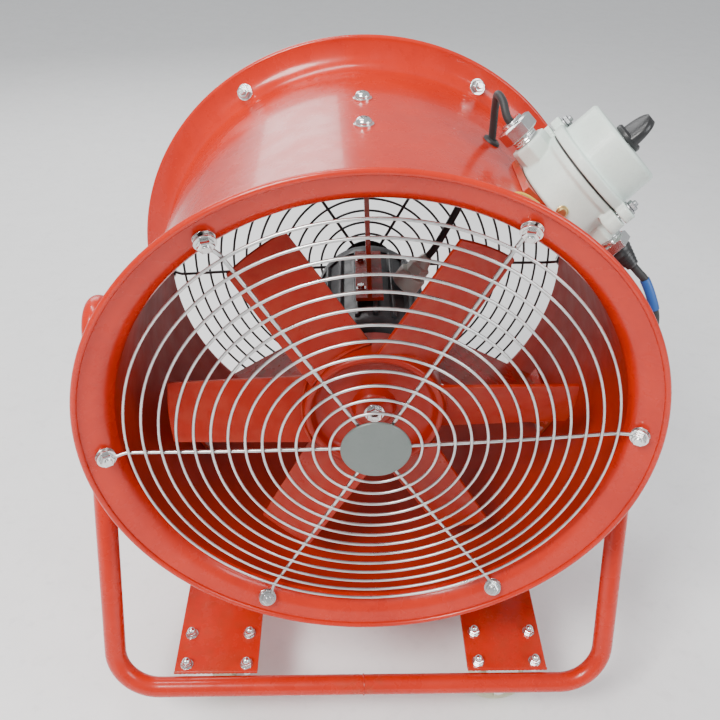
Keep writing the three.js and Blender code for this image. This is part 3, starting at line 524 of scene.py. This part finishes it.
def make_tie(angle):
    """A flat strap closed round the coil's section."""
    half_w, half_h = 3 * CORD + 0.4, 3 * CORD
    middle = Vector((COIL_X + COIL_MEAN * math.cos(angle), COIL_Y + COIL_MEAN * math.sin(angle),
                     half_h + 0.1))
    outward = Vector((math.cos(angle), math.sin(angle), 0))
    path = []
    for k in range(40):
        t = 2 * math.pi * k / 40
        c, s = math.cos(t), math.sin(t)
        x = half_w * math.copysign(abs(c) ** 0.55, c)
        z = (half_h - 0.6) * math.copysign(abs(s) ** 0.55, s)
        path.append(middle + outward * x + Vector((0, 0, z)))
    return Draft().sweep(path, 0.9, 8, closed=True).make(f"coil_tie_{round(angle / DEG)}", TIE,
                                                         "stand")


# ---------------------------------------------------------------- duct
def flare_point(turn, offset):
    reach = FLARE - offset
    return (BORE + FLARE - reach * math.cos(turn), FLARE_FOOT + reach * math.sin(turn))


def duct_outline():
    steps = 14
    turns = [FLARE_TURN * i / steps for i in range(steps + 1)]
    inner = [flare_point(t, 0) for t in turns]
    outer = [flare_point(t, SHEET) for t in reversed(turns)]
    bead = []
    wrap = 2 * math.pi - math.asin(SHEET / BEAD)
    for i in range(15):
        angle = 270 * DEG - FLARE_TURN - wrap * i / 14
        bead.append((LIP - BEAD + BEAD * math.cos(angle), DUCT_HALF - BEAD + BEAD * math.sin(angle)))
    rear = inner + bead + outer
    front = [(r, -y) for r, y in reversed(rear)]
    return rear + front


def make_duct():
    duct = Draft().lathe(duct_outline(), 180, closed=True).make("duct", PAINT, "stand", FAN,
                                                                angle=50)
    # The second material is painted shade: faces inside the bore get the darker enamel.
    duct.data.materials.append(INSIDE_PAINT_WITH_PAINTED_SHADE)
    home = FAN.inverted()
    for face in duct.data.polygons:
        middle = (home @ face.center) / MM
        if math.hypot(middle.x, middle.z) < BORE + 1:
            face.material_index = 1
    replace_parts(duct, "duct_shell")
    heads, washers = Draft(), Draft()
    for degrees in BRACKET_ANGLES:
        for y in (-3, 72):
            out = turned(degrees) @ y_to((0, 0, 1), (0, y, BORE + SHEET))
            washers.lathe([(0, 0), (10, 0), (10, 1.2), (9.4, 1.7), (0, 1.7)], 32, out)
            heads.lathe([(0, 1.6), (8, 1.6), (8.2, 2.6), (7.6, 4.6), (5.8, 6.4), (3.6, 7.2),
                         (3.2, 7.2), (3.0, 4.6), (0, 4.6)], 32, out)
    heads.make("duct_bolt_heads", CHROME, "stand", FAN)
    washers.make("duct_bolt_washers", CHROME, "stand", FAN)


def make_lead_grommet():
    angle, y = LEAD_ENTRY_ANGLE * DEG, LEAD_ENTRY_Y
    out = Vector((math.sin(angle), 0, math.cos(angle)))
    place = out * (BORE + SHEET) + Vector((0, y, 0))
    profile = [(LEAD + 0.2, -5), (LEAD + 0.2, 3.2), (6.5, 3.8), (9, 2.4), (9.4, 0.2), (7, 0.1),
               (7, -2.6), (9, -2.8), (8.4, -4.6)]
    Draft().lathe(profile, 36, y_to(out, place), closed=True).make(
        "lead_grommet", RUBBER, "stand", UP_FRAME)


# ---------------------------------------------------------------- wire guards
def guard_y(radius):
    outermost = RING_FIRST + RING_PITCH * (RING_COUNT - 1)
    return -DUCT_HALF + GUARD_SETBACK - GUARD_DOME * (1 - (radius / outermost) ** 2)


def bolt_frame(degrees):
    """The place of a guard bolt, with Y along the flare's normal, out of the duct's wall."""
    seat_radius, seat_depth = flare_point(GUARD_BOLT_TURN, 0)
    normal = Vector((0, -math.sin(GUARD_BOLT_TURN), -math.cos(GUARD_BOLT_TURN)))
    return turned(degrees) @ y_to(normal, (0, -seat_depth, seat_radius))


def guard_draft():
    wires = Draft()
    for k in range(RING_COUNT):
        radius = RING_FIRST + RING_PITCH * k
        y = guard_y(radius)
        section = [(radius + RING_WIRE * math.cos(a), y + RING_WIRE * math.sin(a))
                   for a in (2 * math.pi * s / 10 for s in range(10))]
        wires.lathe(section, 144, closed=True)
    outermost = RING_FIRST + RING_PITCH * (RING_COUNT - 1)
    for k in range(6):
        degrees = 30 + 60 * k
        spoke = [(0, guard_y(r) + SPOKE_DROP, r) for r in (0, 40, 80, 120, 160, 200, outermost - 6)]
        seat = bolt_frame(0)
        eye = []
        for step in range(15):
            angle = (-150 + 300 * step / 14) * DEG
            eye.append(seat @ Vector((6.4 * math.sin(angle), 2.7, 6.4 * -math.cos(angle))))
        middle = (0, guard_y(outermost) + SPOKE_DROP - 0.6, outermost + 4)
        wires.sweep([*spoke, middle, *eye[::-1]], SPOKE_WIRE, 10, turned(degrees))
    return wires


def disc_draft():
    front = guard_y(0) - RING_WIRE - 1
    return Draft().lathe([(0, front), (GUARD_DISC - 1, front), (GUARD_DISC, front + 0.9),
                          (GUARD_DISC, front + 2.6), (0, front + 3)], 96)


def guard_bolts_draft():
    bolts = Draft()
    for k in range(6):
        seat = bolt_frame(30 + 60 * k)
        bolts.lathe([(4.2, 4.8), (9.6, 4.8), (9.8, 5.2), (9.6, 6.4), (4.2, 6.4)], 36, seat,
                    closed=True)
        bolts.lathe([(4.2, 0.2), (9.4, 0.2), (9.6, 0.9), (4.2, 0.9)], 36, seat, closed=True)
        bolts.hexagon(13, 6.4, 11.4, seat)
        bolts.lathe([(0, 11), (4, 11), (4, 12.4), (3.4, 13), (0, 13)], 20, seat)
        bolts.lathe([(4.2, -2.7), (9, -2.7), (9.2, -3.2), (9, -4.2), (4.2, -4.2)], 36, seat,
                    closed=True)
        bolts.hexagon(13, -10, -4.2, seat)
        bolts.lathe([(0, -10), (4, -10), (4, -13.2), (3.2, -14), (0, -14)], 20, seat)
    return bolts


def make_guards():
    rear = FAN @ Matrix.Rotation(math.pi, 4, "Z")
    for name, matrix, wire, disc in (("front", FAN, ZINC, DISC), ("rear", rear, BLACK_WIRE,
                                                                  BLACK_WIRE)):
        wires = guard_draft().make(f"{name}_guard_wires", wire, "stand", matrix, angle=60)
        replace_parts(wires, f"{name}_guard")
        disc_draft().make(f"{name}_guard_disc", disc, "stand", matrix, bevel=0.4)
        guard_bolts_draft().make(f"{name}_guard_bolts", CHROME, "stand", matrix, bevel=0.25)


# ---------------------------------------------------------------- impeller
def make_hub():
    profile = [
        (9.8, HUB_FRONT + 6), (17, HUB_FRONT + 6), (19.5, HUB_FRONT + 7.2), (21, HUB_FRONT + 10),
        (24, HUB_FRONT + 16), (30, HUB_FRONT + 17), (44, HUB_FRONT + 15.5), (56, HUB_FRONT + 14),
        (61, HUB_FRONT + 12), (63.5, HUB_FRONT + 8), (64.6, HUB_FRONT + 3),
        (66, HUB_FRONT + 0.8), (68, HUB_FRONT), (70.4, HUB_FRONT + 0.3), (72.2, HUB_FRONT + 1.6),
        (HUB, HUB_FRONT + 4), (HUB, HUB_BACK - 1), (72, HUB_BACK), (67, HUB_BACK),
        (66, HUB_BACK - 1), (66, HUB_BACK - 22), (24, HUB_BACK - 22), (20, HUB_BACK - 4),
        (9.8, HUB_BACK - 4),
    ]
    hub = Draft().lathe(profile, 120, closed=True).make("hub", BLADE_PAINT, "impeller", IMPELLER,
                                                        angle=45)
    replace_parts(hub, "impeller_hub")
    bolt = Draft()
    face = y_to((0, -1, 0), (0, HUB_FRONT + 5.6, 0))
    bolt.lathe([(0, 0), (10.6, 0), (11, 0.5), (10.6, 2), (0, 2)], 40, face)
    bolt.hexagon(15.6, 2, 8.6, face, chamfer=1.0)
    bolt.lathe([(0, 8.4), (5, 8.4), (5, 9.0), (4.2, 9.4), (0, 9.4)], 24, face)
    bolt_piece = bolt.make("hub_centre_bolt", CHROME, "impeller", IMPELLER, bevel=0.3)
    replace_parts(bolt_piece, "hub_bolt")


def blade_outline():
    """Root edge on the hub's curve, tip edge on the tip circle, with rounded tip corners."""
    root, tip, corner = 37.0, 33.0, 2.5
    points = []
    for i in range(13):
        x = -root + 2 * root * i / 12
        points.append((x, math.sqrt((HUB + 0.3) ** 2 - (x * math.cos(BLADE_PITCH)) ** 2)))
    tip_z = math.sqrt(BLADE_TIP ** 2 - (tip * math.cos(BLADE_PITCH)) ** 2)
    for side in (1, -1):
        arc = []
        for i in range(7):
            t = math.pi / 2 * i / 6
            arc.append((side * (tip - corner + corner * math.cos(t)),
                        tip_z - corner + corner * math.sin(t)))
        if side > 0:
            points += arc
            for i in range(1, 10):
                x = (tip - corner) * (1 - 2 * i / 10)
                bulge = (BLADE_TIP - tip_z) * (1 - (x / (tip - corner)) ** 2)
                points.append((x, tip_z + bulge - 0.2))
        else:
            points += arc[::-1]
    return points


def make_blades():
    for k in range(6):
        degrees = 30 + 60 * k
        place = turned(degrees) @ Matrix.Translation((0, BLADE_Y, 0)) @ Matrix.Rotation(
            BLADE_PITCH, 4, "Z") @ Matrix.Translation((0, -2, 0))
        blade = Draft().prism(blade_outline(), 4, place).make(
            f"blade_plate_{k + 1}", BLADE_PAINT, "impeller", IMPELLER, bevel=0.9)
        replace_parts(blade, f"blade_{k + 1}")
        weld = Draft()
        for side in (-1, 1):
            path = []
            for i in range(31):
                x = -35 + 70 * i / 30
                z = math.sqrt((HUB + 0.8) ** 2 - (x * math.cos(BLADE_PITCH)) ** 2)
                path.append((x, 2 + side * 2.2 + random.uniform(-0.2, 0.2), z + 0.6))
            weld.sweep(path, 1.9, 8, place,
                       taper=lambda t: 0.6 + 0.4 * min(1, 6 * min(t, 1 - t)) + 0.1 * math.sin(90 * t))
        weld.make(f"blade_weld_{k + 1}", BLADE_PAINT, "impeller", IMPELLER)


# ---------------------------------------------------------------- motor
def make_motor():
    front, back = MOTOR_FRONT + SHIELD_DEPTH + 0.3, MOTOR_BACK - SHIELD_DEPTH - 0.3
    housing = Draft()
    housing.lathe([(58.3, front), (62, front), (62, back), (58.3, back)], 96, closed=True)
    for k in range(20):
        degrees = 18 * (k + 0.3) + 90
        section = [(-3.2, 61.4), (-2.2, 66.2), (-1.2, 67), (1.2, 67), (2.2, 66.2), (3.2, 61.4)]
        housing.prism(section, back - front - 2, turned(degrees) @ Matrix.Translation(
            (0, front + 1, 0)))
    piece = housing.make("motor_body", MOTOR_PAINT, "stand", FAN, bevel=0.4)
    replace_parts(piece, "motor_housing")
    shield = [(10.5, 0), (30, 0), (32, 1.5), (50, 1.5), (57, 2.4), (62.5, 5.5), (64, 8),
              (64, SHIELD_DEPTH), (58.3, SHIELD_DEPTH), (58.3, 9), (24.5, 9), (24.5, 25.5),
              (20.3, 25.5), (20.3, 12), (10.5, 12)]
    cover = Draft().lathe([(r, MOTOR_FRONT + y) for r, y in shield], 96, closed=True)
    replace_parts(cover.make("front_shield", MOTOR_PAINT, "stand", FAN, bevel=0.6),
                "front_end_shield")
    solid = [(0, 0), *shield[1:-1], (0, 12)]
    cover = Draft().lathe([(r, MOTOR_BACK - y) for r, y in solid], 96)
    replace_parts(cover.make("rear_shield", MOTOR_PAINT, "stand", FAN, bevel=0.6),
                "rear_end_shield")
    bolts = Draft()
    for k in range(4):
        for y, way in ((MOTOR_FRONT + 1.6, -1), (MOTOR_BACK - 1.6, 1)):
            place = turned(45 + 90 * k) @ y_to((0, way, 0), (0, y, 47))
            bolts.lathe([(0, 0), (6, 0), (6, 1.2), (0, 1.2)], 24, place)
            bolts.hexagon(8, 1.2, 5.4, place)
    bolts.make("motor_tie_bolts", CHROME, "stand", FAN, bevel=0.2)


def make_bracket_bolts():
    """Two bolts through each bracket's foot, in a row on one side of its web."""
    bolts = Draft()
    for degrees in BRACKET_ANGLES:
        for y in (2, 66):
            foot = turned(degrees) @ y_to((0, 0, 1), (-9, y, 71.4))
            bolts.lathe([(0, 0), (5.4, 0), (5.4, 1.0), (0, 1.0)], 24, foot)
            bolts.hexagon(7.6, 1.0, 5.0, foot)
    bolts.make("bracket_bolts", CHROME, "stand", FAN, bevel=0.2)


def near(degrees, radius, y):
    return Vector((radius * math.sin(degrees * DEG), y, AXIS_HEIGHT + radius * math.cos(degrees * DEG)))


def make_motor_lead():
    angle, y = LEAD_ENTRY_ANGLE, LEAD_ENTRY_Y
    gland_angle, gland_y, gland_top = 33, 36, 112
    out = lambda reach: box_to_part(box_point(LEAD_ANGLE, reach, CONDUIT_HEIGHT))
    knots = [
        out(77), out(91), near(angle - 4.4, 300, y - 32), near(angle - 5.2, 301, y - 20),
        near(angle - 3.8, 287, y - 8), near(angle - 1.6, 268, y - 2),
        near(angle, BORE + SHEET, y), near(angle + 1, 225, y), near(gland_angle - 1, 170, gland_y + 14),
        near(gland_angle, gland_top + 14, gland_y + 1),
        near(gland_angle, gland_top + 0.3, gland_y),
    ]
    lead = curve_piece("motor_lead_sleeve", catmull_rom(knots, 10), LEAD, RUBBER, "stand")
    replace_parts(lead, "motor_lead")
    gland = Draft()
    base = y_to((0, 0, 1))
    gland.lathe([(0, 67.3), (16, 67.3), (16.6, 68), (16.6, 84), (15.4, 86), (0, 86)], 48, base)
    gland.lathe([(0, 99.4), (9.4, 99.4), (8.4, 104), (6.6, 110), (5.2, 112), (0, 112)], 32, base)
    gland.hexagon(23, 86, 100, base, chamfer=1.6)
    place = UP_FRAME @ Matrix.Translation((0, gland_y * MM, 0)) @ turned(gland_angle)
    piece = gland.make("motor_gland_body", CAST, "stand", place, bevel=0.5)
    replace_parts(piece, "motor_gland")


# ---------------------------------------------------------------- switch box
def ears():
    return [box_point(EAR_ANGLE + turn, EAR_REACH, 0) for turn in (0, math.pi)]


def up_lathe(draft, profile, segments, place, closed=False):
    """[radius, height] points turned about a line along local Z."""
    return draft.lathe(profile, segments, Matrix.Translation(place) @ Matrix.Rotation(
        90 * DEG, 4, "X"), closed)


def disc_stack(draft, levels, place, segments=48):
    return up_lathe(draft, [(0, levels[0][1]), *levels, (0, levels[-1][1])], segments, place)


def make_box():
    body = Draft()
    disc_stack(body, [(44, BOX_FLOOR), (46.2, BOX_FLOOR + 2), (46.5, BODY_TOP - 9),
                      (48.4, BODY_TOP - 6), (48.4, BODY_TOP)], (0, 0, 0), 96)
    for angle in (CONDUIT_ANGLE, LEAD_ANGLE):
        way = box_point(angle, 1, 0)
        place = y_to(way, (0, 0, CONDUIT_HEIGHT))
        body.lathe([(0, 30), (19.4, 30), (19, 59), (18, 62), (0, 62)], 8, place)
    for ear in ears():
        disc_stack(body, [(9.5, 284), (10, 287), (10, BODY_TOP)], (ear.x, ear.y, 0), 32)
        inward = ear.normalized() * 40
        body.prism([(-9, 285), (9, 285), (9, BODY_TOP), (-9, BODY_TOP)], ear.length - 38,
                   Matrix.Translation(Vector((inward.x, inward.y, 0)) - 2 * ear.normalized())
                   @ Matrix.Rotation(math.atan2(ear.y, ear.x) - math.pi / 2, 4, "Z"))
    piece = body.make("box_body_casting", CAST, "stand", BOX, remesh=0.9, smooth=2)
    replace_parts(piece, "switch_box_body")

    cover = Draft()
    disc_stack(cover, [(51.4, COVER_BOTTOM), (51.5, COVER_BOTTOM + 1), (51.5, FLANGE_TOP - 1.6),
                       (50.1, FLANGE_TOP)], (0, 0, 0), 96)
    disc_stack(cover, [(46, FLANGE_TOP - 1), (45.2, FLANGE_TOP + 2), (44.2, BOX_TOP - 2.4),
                       (42, BOX_TOP)], (0, 0, 0), 96)
    for ear in ears():
        disc_stack(cover, [(10, COVER_BOTTOM), (10, FLANGE_TOP - 1), (9, FLANGE_TOP)],
                   (ear.x, ear.y, 0), 32)
        inward = ear.normalized() * 38
        cover.prism([(-9, COVER_BOTTOM), (9, COVER_BOTTOM), (9, FLANGE_TOP), (-9, FLANGE_TOP)],
                    ear.length - 38, Matrix.Translation(Vector((inward.x, inward.y, 0)))
                    @ Matrix.Rotation(math.atan2(ear.y, ear.x) - math.pi / 2, 4, "Z"))
    piece = cover.make("box_cover_casting", CAST, "stand", BOX, remesh=0.9, smooth=2)
    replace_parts(piece, "switch_box_cover")
    gasket = Draft()
    up_lathe(gasket, [(40, BODY_TOP + 0.3), (47, BODY_TOP + 0.3), (47, BODY_TOP + 1.8),
                      (40, BODY_TOP + 1.8)], 96, (0, 0, 0), closed=True)
    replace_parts(gasket.make("box_gasket", RUBBER, "stand", BOX), "cover_gasket")
    make_cover_bolts()


def make_cover_bolts():
    for k, ear in enumerate(ears()):
        bolt = Draft()
        place = Matrix.Translation((ear.x, ear.y, 0)) @ Matrix.Rotation(90 * DEG, 4, "X")
        bolt.lathe([(3.2, FLANGE_TOP + 0.2), (7.4, FLANGE_TOP + 0.2), (7.4, FLANGE_TOP + 1.6),
                    (3.2, FLANGE_TOP + 1.6)], 28, place, closed=True)
        bolt.hexagon(10, FLANGE_TOP + 1.6, FLANGE_TOP + 6.2, place)
        bolt.lathe([(0, 286), (3, 286), (3, FLANGE_TOP + 8), (2.4, FLANGE_TOP + 9),
                    (0, FLANGE_TOP + 9)], 20, place)
        piece = bolt.make(f"cover_screw_{k + 1}", STEEL, "stand", BOX, bevel=0.2)
        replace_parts(piece, f"cover_bolt_{k + 1}")


def make_knob():
    """A round foot with a tall tapering wing grip, on its spindle."""
    foot = BOX_TOP + 0.6
    knob = Draft()
    disc_stack(knob, [(14.6, foot), (15, foot + 1), (15, foot + 4), (13.4, foot + 6)], (0, 0, 0))
    layers = []
    for k in range(11):
        t = k / 10
        height = foot + 4 + 25 * t
        length = 15.5 * math.sqrt(max(1 - (0.97 * t) ** 3, 0))
        layers.append((height, length, 7.6 - 3.0 * t))
    points, faces, sides = [], [], 24
    for height, length, width in layers:
        for i in range(sides):
            angle = 2 * math.pi * i / sides
            c, d = math.cos(angle), math.sin(angle)
            points.append((width * math.copysign(abs(c) ** 0.6, c),
                           length * math.copysign(abs(d) ** 0.8, d), height))
    for k in range(len(layers) - 1):
        for i in range(sides):
            j = (i + 1) % sides
            faces.append((k * sides + i, k * sides + j, (k + 1) * sides + j, (k + 1) * sides + i))
    faces.append(tuple(reversed(range(sides))))
    faces.append(tuple(range(len(points) - sides, len(points))))
    knob.add(points, faces)
    piece = knob.make("knob_grip", BLACK_PLASTIC, "selector", BOX, bevel=0.4)
    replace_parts(piece, "selector_knob")


def make_box_glands():
    for name, angle, start, nut_from, nut_to, across in (
            ("motor_lead", LEAD_ANGLE, 62.3, 69, 84, 32),
            ("supply", CONDUIT_ANGLE, 62.3, 68, 80, 28)):
        place = y_to(box_point(angle, 1, 0), (0, 0, CONDUIT_HEIGHT))
        nut = Draft()
        nut.lathe([(0, start), (12.5, start), (12.5, start + 1), (11.8, start + 2),
                   (12.5, start + 3), (11.8, start + 4.4), (12.5, start + 5.6), (12.5, nut_from),
                   (0, nut_from)], 36, place)
        nut.hexagon(across, nut_from, nut_to, place, chamfer=1.6)
        if name == "supply":
            piece = nut.make("supply_gland_nut", CHROME, "stand", BOX, bevel=0.5)
            relief = Draft()
            profile = [(CORD + 0.3, nut_to + 0.1), (12, nut_to + 0.1), (12.3, nut_to + 3)]
            for k in range(5):
                y = nut_to + 5 + 4 * k
                profile += [(11.2 - 1.05 * k, y), (11.0 - 1.05 * k, y + 2.6),
                            (10.0 - 1.05 * k, y + 3)]
            profile += [(6.2, 103.4), (5.6, 104), (CORD + 0.3, 104)]
            relief.lathe(profile, 36, place, closed=True)
            relief.make("supply_strain_relief", BLACK_PLASTIC, "stand", BOX)
            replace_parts(piece, "supply_gland")
        else:
            nut.lathe([(LEAD + 0.5, nut_to), (11.4, nut_to), (10.6, 87), (LEAD + 0.9, 87)], 36,
                      place, closed=True)
            piece = nut.make("motor_lead_gland_nut", CHROME, "stand", BOX, bevel=0.5)
            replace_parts(piece, "motor_lead_gland")


def make_earth_screw():
    screw = Draft()
    place = Matrix.Translation((0, 0, 265)) @ Matrix.Rotation(-12 * DEG, 4, "Z") @ y_to((0, -1, 0))
    screw.lathe([(0, 46.6), (6, 46.6), (6, 47.8), (5.4, 48.2), (0, 48.2)], 28, place)
    screw.lathe([(0, 48), (4.2, 48), (4.4, 50), (3.6, 51.6), (0, 51.9)], 24, place)
    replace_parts(screw.make("earth_terminal", BRASS, "stand", BOX, bevel=0.2), "earth_screw")


# ---------------------------------------------------------------- stand
def rounded_path(corners, radii, steps):
    corners = [Vector(c) for c in corners]
    points = [corners[0]]
    for i, radius in enumerate(radii):
        corner = corners[i + 1]
        back = (corners[i] - corner).normalized()
        ahead = (corners[i + 2] - corner).normalized()
        half = back.angle(ahead) / 2
        centre = corner + (back + ahead).normalized() * radius / math.sin(half)
        first = corner + back * radius / math.tan(half) - centre
        last = corner + ahead * radius / math.tan(half) - centre
        axis = first.cross(last).normalized()
        sweep = first.angle(last)
        for s in range(steps + 1):
            points.append(Matrix.Rotation(sweep * s / steps, 3, axis) @ first + centre)
    points.append(corners[-1])
    dense = []
    for a, b in zip(points, points[1:]):
        pieces = max(1, round((b - a).length / 40))
        dense += [a.lerp(b, s / pieces) for s in range(pieces)]
    return dense + [points[-1]]


def make_stand():
    apex = BAR_HEIGHT + STAND_Y / LEG_SLOPE
    for name, side in (("left", -1), ("right", 1)):
        corners = [(side * 0.15, -STAND_Y, BAR_HEIGHT), (side * STAND_X, -STAND_Y, BAR_HEIGHT),
                   (side * STAND_X, 0, apex), (side * STAND_X, STAND_Y, BAR_HEIGHT),
                   (side * 0.15, STAND_Y, BAR_HEIGHT)]
        path = rounded_path(corners, (CORNER_BEND, APEX_BEND, CORNER_BEND), 16)
        piece = Draft().sweep(path, TUBE, 32).make(f"stand_tube_{name}", PAINT, "stand",
                                                   angle=60)
        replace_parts(piece, f"frame_tube_{name}")
    welds = Draft()
    for y in (-STAND_Y, STAND_Y):
        loop = [(random.uniform(-0.3, 0.3), y + 12.6 * math.cos(t), BAR_HEIGHT + 12.6 * math.sin(t))
                for t in (2 * math.pi * s / 36 for s in range(36))]
        welds.sweep(loop, 1.1, 8, closed=True)
        inner = y - math.copysign(TUBE, y)
        for x in (-DECK_X, DECK_X):
            path = [(x - DECK_HALF + 2 * DECK_HALF * s / 40 + random.uniform(-0.3, 0.3),
                     inner - math.copysign(0.1, y), DECK_TOP - 1.8) for s in range(41)]
            welds.sweep(path, 2.2, 8, taper=lambda t: 0.85 + 0.15 * math.sin(110 * t))
    for side in (-1, 1):
        for z in (7, 15):
            for y0 in (-30, 22):
                path = [(side * (STAND_X - TUBE - 0.6), y0 + s, AXIS_HEIGHT + z) for s in range(0, 9)]
                welds.sweep(path, 1.8, 8)
    welds.make("stand_welds", PAINT, "stand")


def make_decks():
    for name, side in (("left", -1), ("right", 1)):
        end = STAND_Y - TUBE - 0.3
        corner = 3
        outline = []
        for cx, cz, start in ((1, 1, 0), (-1, 1, 90), (-1, -1, 180), (1, -1, 270)):
            for s in range(4):
                angle = (start + 30 * s) * DEG
                outline.append((side * DECK_X + cx * (DECK_HALF - corner) + corner * math.cos(angle),
                                cz * (end - corner) + corner * math.sin(angle)))
        lie_flat = Matrix.Translation((0, 0, DECK_TOP)) @ Matrix.Rotation(-90 * DEG, 4, "X")
        plate = Draft().prism(outline, DECK_TOP - DECK_BOTTOM, lie_flat)
        piece = plate.make(f"deck_plate_{name}", PAINT, "stand", bevel=0.7)
        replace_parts(piece, f"base_plate_{name}")


def make_caster_bolts():
    """Dome nuts on the base plates over the four holes of each caster plate."""
    nuts = Draft()
    upward = Matrix.Rotation(90 * DEG, 4, "X")
    for x in (-DECK_X, DECK_X):
        for y in (-CASTER_Y, CASTER_Y):
            for dx in (-37, 37):
                for dy in (-22.5, 22.5):
                    place = Matrix.Translation((x + dx, y + dy, 0)) @ upward
                    nuts.lathe([(4, DECK_TOP), (8, DECK_TOP), (8, DECK_TOP + 1.2),
                                (4, DECK_TOP + 1.2)], 28, place, closed=True)
                    nuts.hexagon(12, DECK_TOP + 1.2, DECK_TOP + 6.4, place)
                    nuts.lathe([(0, DECK_TOP + 6), (5.4, DECK_TOP + 6), (5, DECK_TOP + 9),
                                (3.4, DECK_TOP + 11.4), (1.4, DECK_TOP + 12.3),
                                (0, DECK_TOP + 12.5)], 24, place)
                    nuts.hexagon(12, 93.6, 99.4, place)
    nuts.make("caster_plate_nuts", CHROME, "stand", bevel=0.25)


# ---------------------------------------------------------------- casters
def wheel_draft():
    half = [(AXLE_HOLE, 13.4), (9, 13.4), (11.6, 12.8), (12.4, 11), (14, 9.4), (17, 9), (27, 9),
            (30, 9.8), (31.4, 12), (32.6, 12.9), (34.8, 12.7), (36.6, 11.2), (37.3, 8), (37.5, 4),
            (37.5, 0)]
    profile = half + [(r, -y) for r, y in reversed(half[:-1])]
    draft = Draft().lathe(profile, 96, closed=True)
    for k in range(6):
        for side in (-1, 1):
            draft.prism([(-1.4, 12), (1.4, 12), (1.4, 30.6), (-1.4, 30.6)], 2.6,
                        turned(60 * k) @ Matrix.Translation((0, 9 if side > 0 else -11.6, 0)))
    return draft


def axle_draft():
    draft = Draft()
    draft.lathe([(0, -22), (4.9, -22), (4.9, 25), (4.2, 25.8), (0, 25.8)], 32)
    draft.hexagon(13, -24.6, -18.9)
    draft.hexagon(13, 18.9, 24.4)
    draft.lathe([(5, -18.9), (9, -18.9), (9, -18.6), (5, -18.6)], 28, closed=True)
    return draft


def make_casters():
    for row, y in (("front", -CASTER_Y), ("rear", CASTER_Y)):
        rigid = Matrix.Translation((DECK_X * MM, y * MM, WHEEL * MM))
        way = 1 if y < 0 else -1
        swivel = (Matrix.Translation((-DECK_X * MM, (y + way * TRAIL) * MM, WHEEL * MM))
                  @ Matrix.Rotation(90 * DEG, 4, "Z"))
        for kind, place, fork_body in (("rigid", rigid, "stand"),
                                       ("swivel", swivel, f"swivel_{row}")):
            wheel = wheel_draft().make(f"{kind}_tread_{row}", CREAM, f"wheel_{kind}_{row}", place,
                                       bevel=0.3)
            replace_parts(wheel, f"{kind}_wheel_{row}")
            axle = axle_draft().make(f"{kind}_axle_bolt_{row}", CHROME, fork_body, place, bevel=0.3)
            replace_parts(axle, f"{kind}_axle_{row}")


# ---------------------------------------------------------------- earth wire seen behind the flange
def make_earth_wire():
    wire = [near(27.5, 256, -89), near(29, 258, -86), near(31, 258.5, -83),
            near(33.5, 257.5, -78), near(35, 256, -71)]
    curve_piece("earth_wire", catmull_rom(wire, 8), 1.4, YELLOW, "stand")


# ---------------------------------------------------------------- frame nodes that stay
def dress_nodes():
    """Gives the frame's own nodes their materials and rounds their edges."""
    looks = {
        "motor_bracket_top": PAINT, "motor_bracket_right": PAINT, "motor_bracket_left": PAINT,
        "box_mount_plate": PAINT, "side_lug_left": PAINT, "side_lug_right": PAINT,
        "rotor": STEEL, "stator_core": STEEL, "front_bearing": STEEL, "rear_bearing": STEEL,
        "selector_spindle": STEEL, "switch_block": BLACK_PLASTIC,
        "swivel_plate_front": ZINC, "swivel_plate_rear": ZINC, "swivel_fork_front": ZINC,
        "swivel_fork_rear": ZINC, "rigid_fork_front": ZINC, "rigid_fork_rear": ZINC,
    }
    for name, material in looks.items():
        node = NODES[name]
        node.data.materials.clear()
        node.data.materials.append(material)
        rounding = node.modifiers.new("bevel", "BEVEL")
        rounding.width = 0.6 * MM
        rounding.segments = 2
        rounding.limit_method = "ANGLE"
        rounding.angle_limit = 40 * DEG


set_camera()
make_cord()
set_stage()
make_duct()
make_lead_grommet()
make_guards()
make_hub()
make_blades()
make_motor()
make_bracket_bolts()
make_motor_lead()
make_box()
make_knob()
make_box_glands()
make_earth_screw()
make_stand()
make_decks()
make_caster_bolts()
make_casters()
make_earth_wire()
dress_nodes()
